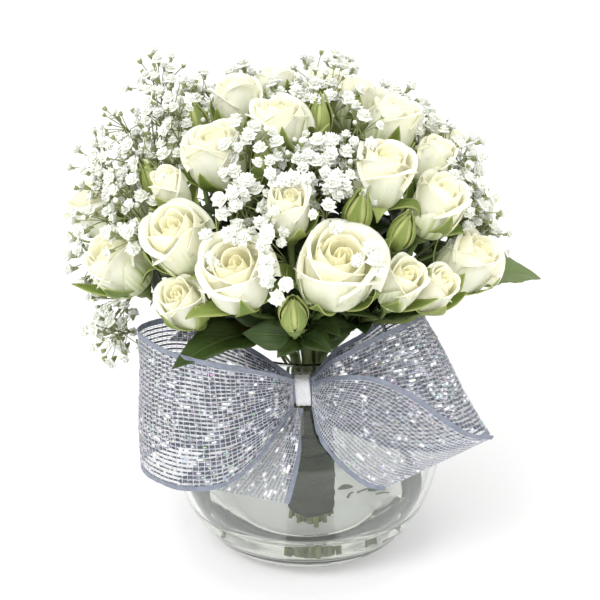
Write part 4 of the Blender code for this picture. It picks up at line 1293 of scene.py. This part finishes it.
def ribbon(name, tree, node, rows, steps, strips, seed, foil, pleats):
    """(piece, its length) of one length of ribbon over rows of (lower, upper) edge points, with
    steps spans between two rows. It gathers where it is narrow and lies flat at its ends."""
    chance = np.random.default_rng(seed)
    lower = smooth_line([a for a, _ in rows], steps)
    upper = smooth_line([b for _, b in rows], steps)
    count, cols = len(lower), strips * 2 + 1
    widths = np.linalg.norm(upper - lower, axis=1)
    along = unit(np.gradient(lower + upper, axis=0))
    off = unit(np.cross(along, upper - lower))
    c = np.linspace(0, 1, cols)
    grid = lower[:, None] * (1 - c[None, :, None]) + upper[:, None] * c[None, :, None]
    k = np.arange(count)
    near = np.minimum(1.0, np.minimum(k, count - 1 - k) / steps)
    narrow = 1 - widths / widths.max()
    fold = (narrow * 1.6 * near)[:, None] * np.cos(3 * math.pi * c)[None]
    fold = fold + (narrow * near * 1.2)[:, None] * np.sin(11 * math.pi * c + 0.7)[None]
    fold = fold + pleats * np.sin(c[None] * 7 + k[:, None] * 0.21) * near[:, None]
    grid = grid + off[:, None] * fold[..., None]
    grid += off[:, None] * chance.normal(0, 0.12, (count, cols))[..., None] * near[:, None, None]
    _, a, b, c, d = grid_quads(count, cols)
    quads = np.stack((a, d, c, b), -1).reshape(-1, 4)
    mesh = bpy.data.meshes.new(name)
    mesh.from_pydata((grid.reshape(-1, 3) * MM).tolist(), [], quads.tolist())
    pairs = np.zeros(len(mesh.edges) * 2, np.int32)
    mesh.edges.foreach_get("vertices", pairs)
    pairs = pairs.reshape(-1, 2)
    col = pairs % cols
    lengthwise = col[:, 0] == col[:, 1]
    border = (col[:, 0] == 0) | (col[:, 0] == cols - 1)
    odd = col[:, 0] % 2 == 1
    for label, values in (("foil", lengthwise & odd), ("warp", lengthwise & ~odd & ~border),
                          ("side", lengthwise & border), ("weft", ~lengthwise)):
        attribute = mesh.attributes.new(label, "BOOLEAN", "EDGE")
        attribute.data.foreach_set("value", values)
    made = shown(name, mesh)
    grown(made, tree, {"Foil": foil, "Thread": THREAD, "Selvedge": SELVEDGE})
    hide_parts(node)
    length = np.linalg.norm(np.diff((lower + upper) / 2, axis=0), axis=1).sum() * MM
    return made, round(float(length), 4)


def make_band():
    """White band drawn tight round the middle of the bow, softly creased along its length."""
    w, d, h = KNOT_SIZE
    turn = full_turn(56)
    y, z = np.cos(turn), np.sin(turn)

    def rounded(power):
        """Ring between a circle and a square, squarer at a higher power."""
        return (np.abs(y)**power + np.abs(z)**power)**(-1 / power)

    def loop(x, shape, inset):
        return np.column_stack((x + 0 * y, y * shape * (d / 2 - inset), z * shape * (h / 2 - inset)))

    outer, core = [], []
    for x, inset in ((-0.5, 1.6), (-0.5, 0.35), (-0.46, 0.0), (-0.3, -0.1), (-0.1, 0.12),
                     (0.05, -0.12), (0.22, 0.1), (0.36, -0.05), (0.46, 0.0), (0.5, 0.35), (0.5, 1.6)):
        ring = loop(x * w + 0.35 * np.sin(turn * 2 + 0.6) * 0.5, rounded(3.2), inset)
        ring[:, 0] += -0.09 * ring[:, 2] * 0.6
        outer.append(ring + KNOT)
    # the ribbon drawn together inside the band
    for x, inset in ((-0.95, 2.6), (-0.85, 0.9), (-0.4, 0.6), (0.4, 0.6), (0.85, 0.9), (0.95, 2.6)):
        core.append(loop(x * w, rounded(2.4) + 0.05 * np.cos(7 * turn + 3 * x), inset) + KNOT)
    stock = Stock()
    stock.add(rings(outer), finish=0)
    stock.add(rings(core), finish=1)
    band = stock.piece("bow_band", SATIN, SELVEDGE)
    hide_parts("knot_band")
    return [band]


def make_bow():
    tree = weave_tree()
    made = []
    for name, node, rows, steps, strips, seed, foil, pleats in (
            ("ribbon_loop_left", "bow_loop_left", LOOP_LEFT, 7, 29, 1, FOIL, 0.5),
            ("ribbon_loop_right", "bow_loop_right", LOOP_RIGHT, 7, 29, 2, FOIL, 0.5),
            ("ribbon_tail_left", "bow_tail_left", TAIL_LEFT, 6, 24, 3, CLEAR_FOIL, 0.3),
            ("ribbon_tail_right", "bow_tail_right", TAIL_RIGHT, 7, 28, 4, CLEAR_FOIL, 0.3)):
        piece, length = ribbon(name, tree, node, rows, steps, strips, seed, foil, pleats)
        made.append(piece)
    return made


# ---------------------------------------------------------------- dew

def dew_tree():
    """Flattened drops of several sizes over a surface, in place of it."""
    tree, inside, outside = new_tree(
        "dew", "GeometryNodeTree",
        [("Geometry", "Geometry", None), ("Density", "Float", 8000.0), ("Seed", "Int", 3),
         ("Material", "Material", None)], [("Geometry", "Geometry")])
    spots = put(tree, "DistributePointsOnFaces", {
        "Mesh": inside.outputs["Geometry"], "Density": inside.outputs["Density"],
        "Seed": inside.outputs["Seed"]})
    size = put(tree, "FunctionNodeRandomValue", {"Min_001": 0.35, "Max_001": 1.0,
                                                 "Seed": inside.outputs["Seed"]})
    ball = put(tree, "MeshUVSphere", {"Segments": 7, "Rings": 5, "Radius": 0.00085}).outputs["Mesh"]
    drop = chained(tree, ball, ("Transform", {"Scale": (1, 1, 0.75)}, {}), ("SetShadeSmooth", {}, {}))
    painted = chained(
        tree, spots.outputs["Points"],
        ("InstanceOnPoints", {"Instance": drop, "Rotation": spots.outputs["Rotation"],
                              "Scale": socket(size.outputs, "Value_001")}, {}),
        ("RealizeInstances", {}, {}),
        ("SetMaterial", {"Material": inside.outputs["Material"]}, {}))
    tree.links.new(painted, outside.inputs["Geometry"])
    return tree


def dew_drops(coats):
    """Drops of water scattered over the outer petals of every head."""
    stock = Stock()
    for grid in coats:
        corners = grid_quads(*grid.shape[:2])[1:]
        stock.add((grid.reshape(-1, 3), np.stack(corners, -1).reshape(-1, 4).tolist()))
    made = stock.piece("dew")
    grown(made, dew_tree(), {"Material": DEW})
    return [made]


# ---------------------------------------------------------------- stage, light, camera

def stage():
    stock = Stock()
    corners = [(x * TABLE_HALF, y * TABLE_HALF, -0.2)
               for x, y in ((-1, -1), (1, -1), (1, 1), (-1, 1))]
    stock.add((corners, [(0, 1, 2, 3)]))
    floor = stock.piece("table_top", floor_finish())

    def area(name, place, size, power):
        lamp = bpy.data.lights.new(name, "AREA")
        lamp.shape, lamp.size, lamp.energy = "DISK", size, power
        made = shown(name, lamp)
        made.location = place
        made.rotation_euler = (Vector(LIGHT_AIM) - Vector(place)).to_track_quat("-Z", "Y").to_euler()

    area("window_light", (-0.8, -1.1, 1.4), 0.8, 16)
    area("front_light", (0.6, -1.4, 0.8), 0.7, 6)
    world = bpy.data.worlds.new("white_studio")
    world.use_nodes = True
    tree = world.node_tree
    place = put(tree, "TexCoord")
    split = put(tree, "SeparateXYZ", {"Vector": place.outputs["Generated"]})
    level = ranged(tree, split.outputs[2], -0.05, 0.75, 0.72, 1.22)
    tree.links.new(level, tree.nodes["Background"].inputs["Strength"])
    tree.nodes["Background"].inputs["Color"].default_value = (1, 1, 1, 1)
    bpy.context.scene.world = world
    bpy.context.scene.view_settings.view_transform = "Standard"

    lens = bpy.data.cameras.new("camera")
    lens.lens, lens.sensor_width = FOCAL_LENGTH, 36.0
    lens.clip_start, lens.clip_end = 0.02, 20.0
    camera = shown("camera", lens)
    camera.location = CAMERA_PLACE
    camera.rotation_euler = (math.radians(90 - CAMERA_TILT), 0, 0)
    bpy.context.scene.camera = camera


def main():
    stage()
    made = make_bowl() + make_tape() + make_scraps() + make_band() + make_bow()
    number = 0
    coats = []
    for name, (_, count, _, _) in STEMS.items():
        heads = []
        for k in range(count):
            number += 1
            bloom, head, coat = rose(f"rose_{name}_{k + 1}", number)
            heads.append(head)
            made.append(bloom)
            coats += coat
        made.append(greens(name, heads))
    made += dew_drops(coats) + put_sprays()
    for piece in made:
        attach(piece, "root")


main()
